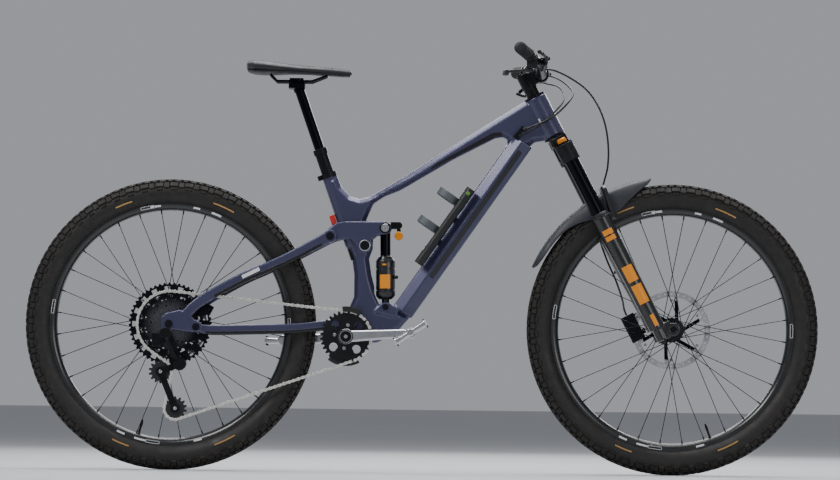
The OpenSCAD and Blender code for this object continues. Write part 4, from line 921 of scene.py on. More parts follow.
class BIKE_OT_front_frame(Operator):
    """Main frame moulding, with its bevelled side panels, and the hardware set in it"""
    bl_idname = "bike.front_frame"
    bl_label = "Main frame"

    # side outline in X and Z: seat tube top, along the top tube, round the head, and back to the foot
    SIDE = ((-225, 771), (-211, 736), (-187, 712), (-163, 705), (-139, 711), (-120, 721), (-41, 769),
            (77, 846), (194, 920), (262, 963), (290, 969), (338, 874), (314, 861), (287, 856), (258, 829),
            (228, 790), (205, 754), (186, 800), (216, 850), (218, 862), (206, 869), (186, 866), (77, 809),
            (-58, 728), (-98, 712), (-127, 693), (-146, 650), (-140, 625), (-127, 600), (-128, 575),
            (-137, 551), (-131, 511), (-121, 472), (-104, 436), (-72, 430), (-30, 399), (-62, 362),
            (-112, 334), (-190, 326), (-216, 350), (-200, 395), (-185, 428), (-175, 452), (-175, 511),
            (-181, 550), (-199, 594), (-222, 656), (-249, 751))

    def execute(self, context):
        settings = context.scene.bike_frame
        edge = settings.panel_chamfer / MM
        parts = [
            slab("side", self.SIDE, -21, 21, edge),
            sweep("down", [DOWN_TUBE(-366, 0, -28.3), DOWN_TUBE(176, 0, -28.3)], [(60, 56.6), (60, 56.6)],
                  "ridged"),
            solid_lathe("head_tube", [(27, 584), (29, 587), (29, 694), (27, 697)], STEER(0, 0, 0),
                        STEER_UP),
            solid_lathe("seat_tube", [(6, -304), (18, -262), (18, -66)], POST(0, 0, 0), POST_UP),
            solid_lathe("crank_shell", [(23, -36.5), (23, 36.5)], CRANK),
            solid_lathe("main_boss", [(20, -24.5), (20, 24.5)], MAIN_PIVOT),
            solid_lathe("link_boss", [(17, -23.5), (17, 23.5)], LINK_FRAME)]
        ear = [(-126, 412), (-104, 438), (-82, 438), (-60, 418), (-60, 396)]
        parts += [slab("ear", ear, 14, 25, 3), slab("ear", ear, -25, -14, 3)]
        cradle = [SHOCK(-29, 0, -17), SHOCK(29, 0, -17), SHOCK(29, 0, 103), SHOCK(-29, 0, 103)]
        cutters = [
            slab("cut_cradle", [(p.x, p.z) for p in cradle], -15.6, 15.6, 1),
            solid_lathe("cut_can", [(26.4, 16), (26.4, 146)], SHOCK(0, 0, 0), SHOCK_UP),
            solid_lathe("cut_post", [(15.9, -300), (15.9, 10)], POST(0, 0, 0), POST_UP),
            solid_lathe("cut_top", [(34, -66.2), (34, 10)], POST(0, 0, 0), POST_UP)]
        body = fused("frame_moulding", parts, settings.moulding_voxel / MM, 9, cutters)
        dress(body, "frame", "paint", ["front_triangle"], crease=50)
        repaint("anodised", "headset_cups", "bottom_bracket", "dropper_outer")
        repaint("dark_bolt", "frame_hardware")
        moulded("guide_moulding", "chain_guide", "frame", "black_plastic", 0.9, 4)
        for s in (-1, 1):
            side = "right" if s < 0 else "left"
            bolt = solid_lathe("link_bolt_" + side, [(11.5, 23.5), (11.5, 24.3), (9.6, 34.2), (9.6, 36),
                                                     (8.6, 36.8), (4.2, 36.8), (4, 34.6)],
                               LINK_FRAME, (0, s, 0), 32)
            dress(bolt, "frame", "dark_bolt")
        # a plain dark panel along each lower face of the down tube: painted shade on the face that looks
        # down, standing also for the graphics that makers put there
        marks = []
        for s in (-1, 1):
            low, high = (18.2, -55.2), (29.2, -31.6)
            rings = [[DOWN_TUBE(t, s * (y + out), z) for (y, z), out in
                      ((low, -0.6), (low, 1.1), (high, 1.1), (high, -0.6))] for t in (-250, 150)]
            marks.append(piece("stripe", *skin(rings)))
        dress(joined("down_tube_panels", marks), "frame", "dark_paint")
        marks = [slab("panel", [(20, 783), (186, 870), (206, 873), (198, 882), (182, 881), (34, 798)],
                      *sorted((s * 20, s * 21.6)), 0.15) for s in (-1, 1)]
        dress(joined("top_tube_panels", marks), "frame", "dark_paint")
        badge = slab("badge", [(296, 916), (303, 900), (307, 902), (300, 918)], -24.8, -24.0, 0.2)
        dress(badge, "frame", "white_film")
        return {"FINISHED"}


class BIKE_OT_rear_stays(Operator):
    """Chainstays, seatstays and the rocker link, with their pivots"""
    bl_idname = "bike.rear_stays"
    bl_label = "Stays and rocker"

    def execute(self, context):
        voxel = context.scene.bike_frame.moulding_voxel / MM
        low = smooth_path([(-183, 31, 389), (-250, 38, 377), (-340, 46, 368), (-460, 56.5, 364),
                           (-545, 65, 362), (-578, 68.6, 367)])
        high = smooth_path([(-237.5, 39.8, 607), (-330, 44, 557), (-400, 50, 524), (-470, 57, 492),
                            (-566, 74, 436), (-612, 78, 392)])
        dropout = [(-668, 392), (-655, 404), (-622, 412), (-600, 402), (-580, 386), (-564, 379),
                   (-564, 357), (-590, 354), (-640, 360), (-668, 362)]
        chain_side, seat_side = [], []
        for hand in (1, -1):
            flip = [Vector((p.x, p.y * hand, p.z)) for p in low]
            chain_side.append(sweep("low", flip, [(11, 26), (11, 24), (11, 23), (10, 22)]))
            chain_side.append(solid_lathe("pivot", [(15.5, 25), (15.5, 36)], MAIN_PIVOT, (0, hand, 0)))
            chain_side.append(solid_lathe("end", [(13, 63.4), (14, 64.4), (14, 72.8), (13, 73.6)], HORST,
                                          (0, hand, 0)))
            flip = [Vector((p.x, p.y * hand, p.z)) for p in high]
            seat_side.append(sweep("high", flip, [(10, 31), (10, 27), (10, 25), (9.5, 27), (9, 27)]))
            seat_side.append(solid_lathe("pivot", [(16, 34.6), (17, 36), (17, 43.6), (16, 45)], LINK_REAR,
                                         (0, hand, 0)))
            seat_side.append(slab("dropout", dropout, *sorted((74 * hand, 82 * hand)), 2))
        bridge = [(-224, 372), (-224, 395), (-254, 389), (-254, 365)]
        chain_side.append(slab("bridge", bridge, -36, 36, 3))
        seat_side.append(sweep("brace", [Vector((-313, -41, 572.6)), Vector((-313, 41, 572.6))],
                               [(13, 13), (13, 13)], "round", (1, 0, 0)))
        seat_side.append(slab("hanger", [(-668, 378), (-640, 378), (-642, 343), (-668, 343)], -82, -75, 1.5))
        tyre_cut = solid_lathe("cut_ring", [(23.6, -37), (23.6, 37)], CRANK)
        fused_low = fused("chainstay_moulding", chain_side, voxel * 0.85, 4, [tyre_cut])
        dress(fused_low, "chainstay", "paint", ["chainstay"], crease=50)
        cups = [solid_lathe("cut_cup", [(15.3, 55), (15.3, 73.9)], HORST, (0, s, 0)) for s in (-1, 1)]
        # painted shade: a darker panel along the lower, downward-facing part of each chainstay and seatstay
        for hand in (1, -1):
            name = "left" if hand > 0 else "right"
            for body, path, w, h in (("chainstay", low[4:-5], 10.4, 23.4),
                                     ("seatstay", high[2:-8], 9.9, 26.5)):
                line = [Vector((p.x, p.y * hand, p.z)) for p in path]
                panel = shadow_panel(body + "_panel_" + name, line, w, h, 0.31, 0.42)
                dress(panel, body, "dark_paint", crease=30)
        fused_high = fused("seatstay_moulding", seat_side, voxel * 0.85, 4, cups)
        dress(fused_high, "seatstay", "paint", ["seatstay"], crease=50)
        rocker = [(-248, 622), (-237, 631), (-222, 643), (-200, 646.5), (-96, 647), (-84, 642), (-79, 630),
                  (-84, 618), (-96, 613), (-118, 610), (-130, 599), (-128, 585), (-133, 571), (-148, 564.5),
                  (-163, 571), (-170, 585), (-182, 599), (-210, 599), (-237, 590.5), (-250, 595),
                  (-255, 608)]
        plates = [slab("plate", rocker, 24, 34, 3.2), slab("plate", rocker, -34, -24, 3.2)]
        fused_link = fused("rocker_moulding", plates, 1.3, 4)
        dress(fused_link, "rocker", "paint", ["rocker_link"], crease=60)
        for hand in (-1, 1):
            side = "right" if hand < 0 else "left"
            top = solid_lathe("shock_bolt_" + side, [(6, 22.5), (10.5, 33.6), (10.5, 35.4), (9.6, 36.4),
                                                     (5, 36.4), (4.4, 34.2)], SHOCK_TOP, (0, hand, 0), 32)
            dress(top, "rocker", "silver")
            for name, spot, inner, outer, material in (("shock", SHOCK_TOP, 10.8, 14.4, "anodised"),
                                                       ("link", LINK_FRAME, 12, 14.6, "bolt"),
                                                       ("rear", LINK_REAR, 12, 16, "anodised")):
                washer = lathe(name + "_washer_" + side, [(inner, 34.05), (outer, 34.05), (outer, 34.6),
                                                          (outer - 0.6, 35), (inner, 35)],
                               spot, (0, hand, 0), 48)
                dress(washer, "rocker", material)
        for hand in (-1, 1):
            side = "right" if hand < 0 else "left"
            stripe = sweep("seatstay_stripe_" + side, [
                Vector((-418, hand * 57.1, 520)), Vector((-462, hand * 61.8, 498))], [(0.7, 9), (0.7, 9)])
            dress(stripe, "seatstay", "white_film")
        repaint("dark_bolt", "rear_axle")
        repaint("dark_bolt", "horst_bolts")
        moulded("rear_caliper_casting", "rear_caliper", "seatstay", "anodised", 0.7, 5)
        return {"FINISHED"}


class BIKE_OT_shock(Operator):
    """Air shock with its can, shaft, reservoir, knob and graphic blocks"""
    bl_idname = "bike.shock"
    bl_label = "Shock"

    def execute(self, context):
        can = lathe("shock_can_body", [
            (13.2, 30), (13.2, 132), (16, 132.5), (18.2, 131), (18.6, 128), (24.2, 121), (25, 119), (25, 101),
            (24.2, 100.4), (24.2, 98.6), (25, 98), (25, 46), (24.2, 45.4), (24.2, 43.6), (25, 43), (25, 30),
            (22.5, 26), (17, 20.4), (13.2, 20.2)], SHOCK(0, 0, 0), SHOCK_UP, 64)
        eye = solid_lathe("eye", [(5.1, -15), (11, -15), (12, -14), (12, 14), (11, 15), (5.1, 15)], SHOCK_LOW)
        lug = sweep("lug", [SHOCK(0, 0, 4), SHOCK(0, 0, 21)], [(24, 18), (24, 20)])
        joined_can = joined("shock_can_body_whole", [can, eye, lug])
        dress(joined_can, "shock_can", "lowers", ["shock_can"])
        valve = solid_lathe("shock_valve", [(4, 20), (4, 27), (5, 27.5), (5, 33), (4, 34)],
                            SHOCK(0, 0, 78), (0.93, -0.37, 0), 20)
        dress(valve, "shock_can", "dark_bolt")
        # a plain printed block on the can
        marks = []
        for a0, a1, t0, t1 in ((236, 300, 48, 84),):
            rings = []
            for k in range(13):
                a = math.radians(a0 + (a1 - a0) * k / 12)
                rings.append([SHOCK(r * math.cos(a), r * math.sin(a), t)
                              for r, t in ((24.6, t0), (25.35, t0), (25.35, t1), (24.6, t1))])
            marks.append(piece("mark", *skin(rings)))
        rings = []
        for k in range(7):
            a = math.radians(252 + 24 * k / 6)
            rings.append([SHOCK(r * math.cos(a), r * math.sin(a), t)
                          for r, t in ((24.6, 108), (25.3, 108), (25.3, 112), (24.6, 112))])
        marks.append(piece("mark", *skin(rings)))
        dress(joined("shock_can_graphic", marks), "shock_can", "graphic")
        repaint("anodised", "shock_damper")
        bore = solid_lathe("shaft_sheen", [(13.25, 96), (13.25, 196)], SHOCK(0, 0, 0), SHOCK_UP, 48)
        dress(bore, "shock_damper", "stanchion")
        knob = Vector((-61, -12.4, 610))
        ribbed = []
        steps = 60
        for s, share in ((0, 0.92), (1.2, 1.0), (10.6, 1.0), (12, 0.86)):
            ribbed.append([knob + Vector((r * math.cos(a), -s, r * math.sin(a))) for r, a in (
                (11.5 * share * (1 - 0.06 * (k % 4 < 2)), 2 * math.pi * k / steps) for k in range(steps))])
        dress(piece("shock_knob_ribbed", *skin(ribbed)), "shock_knob", "accent",
              ["shock_knob"], crease=25)
        return {"FINISHED"}


class BIKE_OT_fork(Operator):
    """Fork crown, sliding lowers with their graphic blocks, mudguard, caliper and knobs"""
    bl_idname = "bike.fork"
    bl_label = "Fork"

    def execute(self, context):
        moulded("crown_forging", "fork_crown", "steering", "satin", 1.4, 5)
        repaint("stanchion", "stanchions")
        moulded("lowers_casting", "fork_lowers", "fork_lowers", "lowers", 1.7, 7)
        repaint("black_plastic", "fork_hardware")
        for hand in (-1, 1):
            side = "right" if hand < 0 else "left"
            wiper = lathe("fork_wiper_" + side, [(19.2, 342.4), (23.6, 342.4), (23.6, 347), (22, 348),
                                                 (22, 350), (20.4, 352), (19.2, 352)], STEER(8, hand * 66, 0),
                          STEER_UP, 48)
            dress(wiper, "fork_lowers", "black_plastic")
            crown_cap = ([(19.5, 554), (19.5, 557), (17, 559.5), (8, 559.5)] if hand > 0
                         else [(19.5, 554), (19.5, 556.4), (10, 556.6)])
            cap = solid_lathe("fork_cap_" + side, crown_cap, STEER(8, hand * 66, 0), STEER_UP, 32)
            dress(cap, "steering", "anodised")
        marks = []

        def leg_radius(t):
            return 21.5 + 2.5 * (t - 20) / 323

        # plain blocks wrapped on the outer side of the right leg, and one small block on the left:
        # leg, from and to angle in degrees, from and to height along the leg
        for hand, a0, a1, t0, t1 in (
                (-1, 232, 300, 292, 306), (-1, 232, 300, 276, 288), (-1, 236, 310, 156, 200),
                (-1, 236, 310, 94, 146), (-1, 262, 290, 28, 60), (1, 60, 120, 276, 306)):
            rings = []
            for k in range(13):
                a = math.radians(a0 + (a1 - a0) * k / 12)
                rings.append([STEER(8 + (leg_radius(t) + h) * math.cos(a), hand * 66 + (leg_radius(t) + h)
                                    * math.sin(a), t)
                              for h, t in ((-0.6, t0), (0.45, t0), (0.45, t1), (-0.6, t1))])
            marks.append(piece("mark", *skin(rings)))
        dress(joined("fork_leg_graphic", marks), "fork_lowers", "graphic")
        steps, rings = 48, []
        for s, share in ((0, 0.95), (1, 1.0), (9, 1.0), (11.6, 0.82)):
            rings.append([STEER(8 + r * math.cos(a), -66 + r * math.sin(a), 557.2 + s) for r, a in (
                (12 * share * (1 - 0.05 * (k % 4 < 2)), 2 * math.pi * k / steps) for k in range(steps))])
        dress(piece("fork_knob_ribbed", *skin(rings)), "fork_knob", "accent", ["fork_knob"],
              crease=25)
        moulded("front_caliper_casting", "front_caliper", "fork_lowers", "anodised", 0.8, 5)
        self.mudguard()
        return {"FINISHED"}

    def mudguard(self):
        """A thin curved guard, wide and rounded at both ends, that follows the tyre."""
        axle, rows, across = axle_of(FRONT_AXLE), 40, 16
        middle_r, start, end = 396.5, 98.5, 156.5
        outer, inner = [], []
        for i in range(rows + 1):
            t = i / rows
            a = math.radians(start + (end - start) * t)
            ease = min(1.0, (1 - (1 - min(t, 1 - t) / 0.16) ** 2) ** 0.5 if min(t, 1 - t) < 0.16 else 1.0)
            skirt = ease * (12 + 46 * math.exp(-((t - 0.34) / 0.22) ** 2))
            half = 36.6 * (0.25 + 0.75 * ease) * (0.78 + 0.22 * math.sin(math.pi * min(1, t * 1.4)))
            for ring, lift in ((outer, 0.9), (inner, -0.9)):
                row = []
                for k in range(across + 1):
                    w = 2 * k / across - 1
                    drop = skirt * abs(w) ** 5 + 4 * w * w + 1.6 * (abs(abs(w) - 0.45) < 0.08)
                    r = middle_r + lift - drop
                    row.append(axle + Vector((math.cos(a) * r, w * half, math.sin(a) * r)))
                ring.append(row)
        rings = [o + i[::-1] for o, i in zip(outer, inner)]
        guard = piece("mudguard_shell", *skin(rings))
        dress(guard, "fork_lowers", "guard", ["mudguard"], crease=50)


class BIKE_OT_cockpit(Operator):
    """Handlebar, stem, grips, brake levers and thumb controls"""
    bl_idname = "bike.cockpit"
    bl_label = "Cockpit"

    def execute(self, context):
        repaint("bar", "handlebar")
        moulded("stem_forging", "stem", "steering", "anodised", 0.8, 4)
        moulded("brake_castings", "brake_bodies", "steering", "anodised", 0.75, 4)
        moulded("control_housings", "control_mounts", "steering", "black_plastic", 0.75, 4)
        for side in ("right", "left"):
            node = "brake_lever_" + side
            moulded(node + "_blade", node, node, "satin", 0.6, 4)
        moulded("shift_paddle_moulding", "shift_paddle", "shift_paddle", "black_plastic",
                0.6, 5)
        moulded("dropper_lever_moulding", "dropper_lever", "dropper_lever", "satin", 0.6, 5)
        a, b = Vector((293, 115, 1056)), Vector((243, 390, 1068.6))
        for hand in (1, -1):
            side = "left" if hand > 0 else "right"
            start = a.lerp(b, (258 - 115) / 275)
            line = (b - a).normalized()
            start, line = Vector((start.x, start.y * hand, start.z)), Vector((line.x, line.y * hand, line.z))
            profile, s = [(11.15, 0), (15, 0.4)], 2.0
            while s < 124:  # shallow ribs 4 mm apart, with a plain band near the middle
                ribbed = not 56 < s < 66
                crest, dip = (15.5, 14.6) if ribbed else (15, 15)
                profile += [(crest, s), (crest, s + 2.2), (dip, s + 2.7), (dip, s + 3.5)]
                s += 4.0
            profile += [(15.4, 126), (15.4, 131), (14.4, 133.4), (11.15, 133.6)]
            grip = lathe("grip_" + side, profile, start, line, 40)
            dress(grip, "steering", "grip", ["grips"] if hand > 0 else (), crease=30)
            lock = lathe("grip_lock_" + side, [(11.15, -9), (15.2, -9), (16, -8.2), (16, -1.6), (15.2, -0.8),
                                               (11.15, -0.8)], start, line, 40)
            dress(lock, "steering", "anodised")
            plug = solid_lathe("bar_plug_" + side, [(10.6, 132.4), (13.4, 133.7), (13.4, 135), (12, 136.2),
                                                    (6, 136.6)], start, line, 32)
            dress(plug, "steering", "black_plastic")
        return {"FINISHED"}


class BIKE_OT_hoses(Operator):
    """Brake hoses and the dropper hose, each swept as a round sheath along its route from the handlebar"""
    bl_idname = "bike.hoses"
    bl_label = "Hoses"

    REAR = ((303, 127.5, 1040), (304, 112, 1039), (322, 88, 1038), (348, 58, 1028), (375, 26, 1006),
            (386, -8, 984), (372, -32, 958), (345, -40, 930), (318, -42, 912), (290, -38, 900),
            (258, -29, 888))
    DROPPER = ((290, 174.7, 1040), (292, 160, 1034), (302, 138, 1026), (322, 106, 1018), (348, 64, 1008),
               (362, 24, 988), (360, -12, 962), (334, -31, 930), (308, -33, 906), (280, -31, 888),
               (246, -28, 872))
    FRONT = ((303, -127.5, 1040), (306, -114, 1039), (336, -98, 1036), (376, -72, 1020), (420, -40, 992),
             (452, -2, 952), (472, 34, 905), (481, 54, 850))
    LEG = ((91, 66, 454), (66, 86, 424), (40, 96, 395), (14, 97, 350), (-10, 92, 300), (-20, 84, 240),
           (-24, 74, 180), (-32, 58, 130), (-40, 46, 104), (-42, 41, 87.3))

    def hose(self, name, route, radius):
        path = smooth_path(route, 8)
        return sweep(name, path, [(2 * radius, 2 * radius)] * 2, "round", (0.31, 0.94, 0.11))

    def execute(self, context):
        for name, route, radius in (("rear_brake_hose", self.REAR, 2.5), ("dropper_hose", self.DROPPER, 2.2)):
            hose = self.hose(name, route, radius)
            hose.data.materials.append(MATERIALS["hose"])
            hose.data.shade_smooth()
            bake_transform(hose)
            if name == "rear_brake_hose":
                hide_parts("bar_hoses")
            inlet = solid_lathe(name + "_port", [(3.4, 0), (5.4, 1.2), (5, 5), (3, 9)], Vector(route[-1]),
                                Vector(route[-2]) - Vector(route[-1]), 20)
            dress(inlet, "frame", "black_plastic")
        route = list(self.FRONT) + [STEER(*p) for p in self.LEG]
        hose = self.hose("front_brake_hose_sheath", route, 2.5)
        hose.data.materials.append(MATERIALS["hose"])
        hose.data.shade_smooth()
        STEER(120, 40, 600) * MM
        STEER(40, 96, 395) * MM
        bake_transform(hose)
        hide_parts("front_brake_hose")
        return {"FINISHED"}


class BIKE_OT_drivetrain(Operator):
    """Cassette, chainring, cranks, derailleur and the chain's links"""
    bl_idname = "bike.drivetrain"
    bl_label = "Drivetrain"

    def chain_path(self, pitch):
        """The chain's closed line: wheel by wheel, the point where it meets each and leaves it."""
        def pitch_radius(teeth):
            return pitch / (2 * math.sin(math.pi / teeth))

        rear = axle_of(REAR_AXLE)
        line_y, cog_y = RING.y, middle_of("upper_pulley").y
        wheels = [(CRANK, pitch_radius(32), 1, line_y),
                  (middle_of("lower_pulley"), pitch_radius(14), 1, cog_y),
                  (middle_of("upper_pulley"), pitch_radius(14), -1, cog_y),
                  (rear, pitch_radius(42), 1, cog_y)]

        def normal(a, b):
            v = Vector((b[0].x - a[0].x, b[0].z - a[0].z))
            lean = math.acos((a[2] * a[1] - b[2] * b[1]) / v.length)
            v.normalize()
            return Vector((v.x * math.cos(lean) - v.y * math.sin(lean),
                           v.x * math.sin(lean) + v.y * math.cos(lean)))

        made = []
        for i, wheel in enumerate(wheels):
            before, after = wheels[i - 1], wheels[(i + 1) % 4]
            sense = wheel[2]
            n0, n1 = normal(before, wheel), normal(wheel, after)
            a0 = math.atan2(sense * n0.y, sense * n0.x)
            a1 = math.atan2(sense * n1.y, sense * n1.x)
            full = 2 * math.pi
            turn = -((a0 - a1) % full) if sense > 0 else (a1 - a0) % full
            steps = max(4, round(abs(turn) / 0.12))
            for k in range(steps + 1):
                a = a0 + turn * k / steps
                made.append((wheel[0].x + wheel[1] * math.cos(a), wheel[3],
                             wheel[0].z + wheel[1] * math.sin(a)))
        return made

    def link(self, name, pitch, y0, y1, waist, roller):
        """One chain link along X: two waisted plates, and its rollers or pin ends."""
        outline, steps = [], 6
        for side, turn in ((1, -90), (-1, 90)):
            for k in range(steps + 1):
                a = math.radians(turn + 180 * k / steps)
                outline.append((side * pitch / 2 + 4.15 * math.cos(a), 4.15 * math.sin(a)))
            outline.append((0, waist * side))
        parts = [slab("plate", outline, y0, y1, 0.2, both=True), slab("plate", outline, -y1, -y0, 0.2)]
        for end in (-1, 1):
            half = y1 + 0.25 if roller < 3 else 1.15
            parts.append(solid_lathe("pin", [(roller, -half), (roller, half)], (end * pitch / 2, 0, 0),
                                     steps=8))
        return joined(name, parts)

    def cog(self, teeth, y, inner, outer_pitch):
        """One sprocket: a toothed ring whose windows leave slim arms down to the ring below it."""
        parts, tip, root = [], outer_pitch + 2.3, outer_pitch - 4.4
        axle = axle_of(REAR_AXLE)
        edge, well = [], []
        for k in range(teeth * 4):
            a = 2 * math.pi * (k + 0.5) / (teeth * 4)
            r = tip if k % 4 in (0, 1) else root + 1.8
            edge.append((r * math.cos(a), r * math.sin(a)))
            well.append(((root - 2.4) * math.cos(a), (root - 2.4) * math.sin(a)))
        rings = [[axle + Vector((x, h, z)) for x, z in line] for line, h in (
            (well, y - 0.8), (edge, y - 0.8), (edge, y + 0.8), (well, y + 0.8))]
        parts.append(piece("teeth", *skin(rings, closed=True)))
        arms = max(6, teeth // 3)
        for k in range(arms):
            a = 2 * math.pi * k / arms
            parts.append(sector("arm", axle, inner, root - 1.6, y - 0.55, 1.1, math.degrees(a) - 110 / arms,
                                math.degrees(a) + 110 / arms, 4))
        return joined("cog", parts)

    def cassette(self):
        pitch = 12.7
        teeth = (10, 12, 14, 16, 18, 21, 24, 28, 32, 36, 42, 52)
        low_y, high_y = (v.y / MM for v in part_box("cassette"))
        big, small = [], []
        for i, count in enumerate(teeth):
            y = low_y + 0.9 + (high_y - 0.9 - low_y - 0.9) * i / (len(teeth) - 1)
            below = pitch / (2 * math.sin(math.pi / teeth[i - 1])) - 7.5 if i else 13.5
            made = self.cog(count, y, max(13.5, below), pitch / (2 * math.sin(math.pi / count)))
            (big if i > 6 else small).append(made)
        dress(joined("cassette_large_cogs", big), "cassette", "cassette", ["cassette"],
              crease=30)
        axle = axle_of(REAR_AXLE)
        small.append(lathe("core", [(13.2, low_y + 1), (15, low_y + 1), (15, high_y - 1), (13.2, high_y - 1)],
                           axle, steps=48))
        small.append(lathe("cone", [(30, high_y - 16), (33, high_y - 16), (60, high_y - 3), (57, high_y - 3)],
                           axle, steps=64))
        dress(joined("cassette_small_cogs", small), "cassette", "cassette", crease=30)

    def execute(self, context):
        pitch = context.scene.bike_drive.link_pitch / MM
        points = self.chain_path(pitch)
        path = piece("chain_path", points, [])
        bm = bmesh.new()
        made = [bm.verts.new(Vector(p) * MM) for p in points]
        for i, vert in enumerate(made):
            bm.edges.new((vert, made[(i + 1) % len(made)]))
        bm.to_mesh(path.data)
        bm.free()
        length = sum((Vector(points[i]) - Vector(points[i - 1])).length for i in range(len(points)))
        outer = self.link("outer_link", pitch, 1.85, 2.5, 2.7, 1.8)
        inner = self.link("inner_link", pitch, 1.2, 1.8, 2.9, 3.8)
        chain = grown("chain_links", TREES["chain"], host=path, Links=2 * round(length / pitch / 2),
                      Outer_Link=outer, Inner_Link=inner, Material=MATERIALS["chain"])
        for helper in (outer, inner):
            bpy.data.objects.remove(helper)
        dress(chain, "frame", "chain", ["chain"], crease=35)
        self.cassette()
        lock = lathe("cassette_lockring", [(13, -76), (19, -76), (19, -73.4), (13, -73.4)],
                     axle_of(REAR_AXLE), steps=36)
        dress(lock, "cassette", "anodised")
        repaint("satin", "chainring")
        repaint("black_plastic", "upper_pulley", "lower_pulley")
        moulded("derailleur_casting", "derailleur_body", "seatstay", "anodised", 0.9, 5)
        repaint("anodised", "derailleur_cage")
        for node in ("upper_pulley", "lower_pulley"):
            bolt = solid_lathe(node + "_bolt", [(4.6, 6.8), (4.6, 8), (3.8, 8.6), (2, 8.6), (1.8, 7.6)],
                               middle_of(node), (0, -1, 0), 20)
            dress(bolt, "derailleur_cage", "bolt")
        arms, outer = [], ARM_Y + ARM_T
        axles = [solid_lathe("axle", [(11.9, -ARM_Y - 4), (11.9, ARM_Y + 4)], CRANK, steps=32)]
        for hand, node in ((-1, "pedal_right"), (1, "pedal_left")):
            tip, axle = axle_of(middle_of(node)), (0, hand, 0)
            along = (tip - CRANK).normalized()
            shift = Vector((0, hand * (ARM_Y + ARM_T / 2), 0))
            arms += [
                sweep("arm", [CRANK + shift + along * t for t in (0, 30, 90, 150, 160)],
                      [(13, 31), (13, 29), (12, 25), (11, 22), (10, 16)]),
                solid_lathe("hub", [(19, ARM_Y - 4), (20, ARM_Y), (20, outer - 1.4), (18.4, outer)],
                            CRANK, axle),
                solid_lathe("eye", [(12.6, ARM_Y), (14, ARM_Y + 1.2), (14, outer - 1.2), (12.8, outer)],
                            tip, axle)]
            axles.append(solid_lathe("axle", [(7.9, outer), (7.9, 78), (PIN_R, 78), (PIN_R, 183.6)], tip,
                                     axle, 24))
        forged = fused("crank_forgings", arms, 0.9, 5)
        dress(forged, "crank", "silver", ["crank_arms"], crease=60)
        dress(joined("crank_axles", axles), "crank", "bolt")
        cap = lathe("crank_bolt_right", [(5, -75.6), (13.5, -75.6), (14.5, -74.6), (14.5, -72), (5, -72)],
                    CRANK, steps=40)
        dress(cap, "crank", "dark_bolt")
        face = lathe("crank_face_right", [(16.5, -74.5), (19, -74.3), (19, -73.7), (16.5, -73.7)], CRANK,
                     steps=48)
        dress(face, "crank", "dark_bolt")
        bolt = bolt_head("bolt", 4.6, 2.4)
        ring_bolts = ring_of("chainring_bolts", bolt, CRANK, 30, RING.y - 1.2, 4, "bolt", 0.1, facing=-1)
        bpy.data.objects.remove(bolt)
        dress(ring_bolts, "crank", "bolt")
        return {"FINISHED"}


class BIKE_OT_pedals(Operator):
    """Platform pedals with their grip pins"""
    bl_idname = "bike.pedals"
    bl_label = "Pedals"

    def execute(self, context):
        count = context.scene.bike_drive.pin_count
        for hand, side, tilt in ((-1, "right", 33), (1, "left", 0)):
            node = "pedal_" + side
            middle = middle_of(node)
            turn = Matrix.Rotation(math.radians(-tilt), 3, "Y")

            def at(x, y, z):
                return turn @ Vector((x, 0, z)) + Vector((middle.x, hand * y, middle.z))

            parts = []
            for x in (-44.5, 44.5):
                parts.append(sweep("rail", [at(x, 85, 0), at(x * 1.02, 134, 0), at(x, 183, 0)],
                                   [(15, 8.6)] * 2, across=turn @ Vector((0, 0, 1))))
            for y, wide in ((88.5, 8.6), (110, 5), (158, 5), (179.5, 8.6)):
                parts.append(sweep("bar", [at(-45, y, 0), at(0, y, 0), at(45, y, 0)],
                                   [(wide, 15), (wide, 11), (wide, 15)]))
            parts.append(solid_lathe("barrel", [(8.4, 84.4), (8.9, 86), (8.9, 182), (8.2, 183.8)],
                                     (middle.x, 0, middle.z), (0, hand, 0), 32))
            body = fused(node + "_platform", parts, 0.9, 4)
            dress(body, node, "silver", [node], crease=60)
            row = count // 2
            spots = [at(x, 90 + 88 * k / (row - 1), 0) for x in (-44.5, 44.5) for k in range(row)]
            path = piece("pin_places", spots, [])
            pins = grown(node + "_pins", TREES["pins"], host=path, Radius=1.7 * MM, Length=23.6 * MM,
                         Tilt=math.radians(-tilt), Material=MATERIALS["dark_bolt"])
            dress(pins, node, "dark_bolt", crease=30)
        return {"FINISHED"}


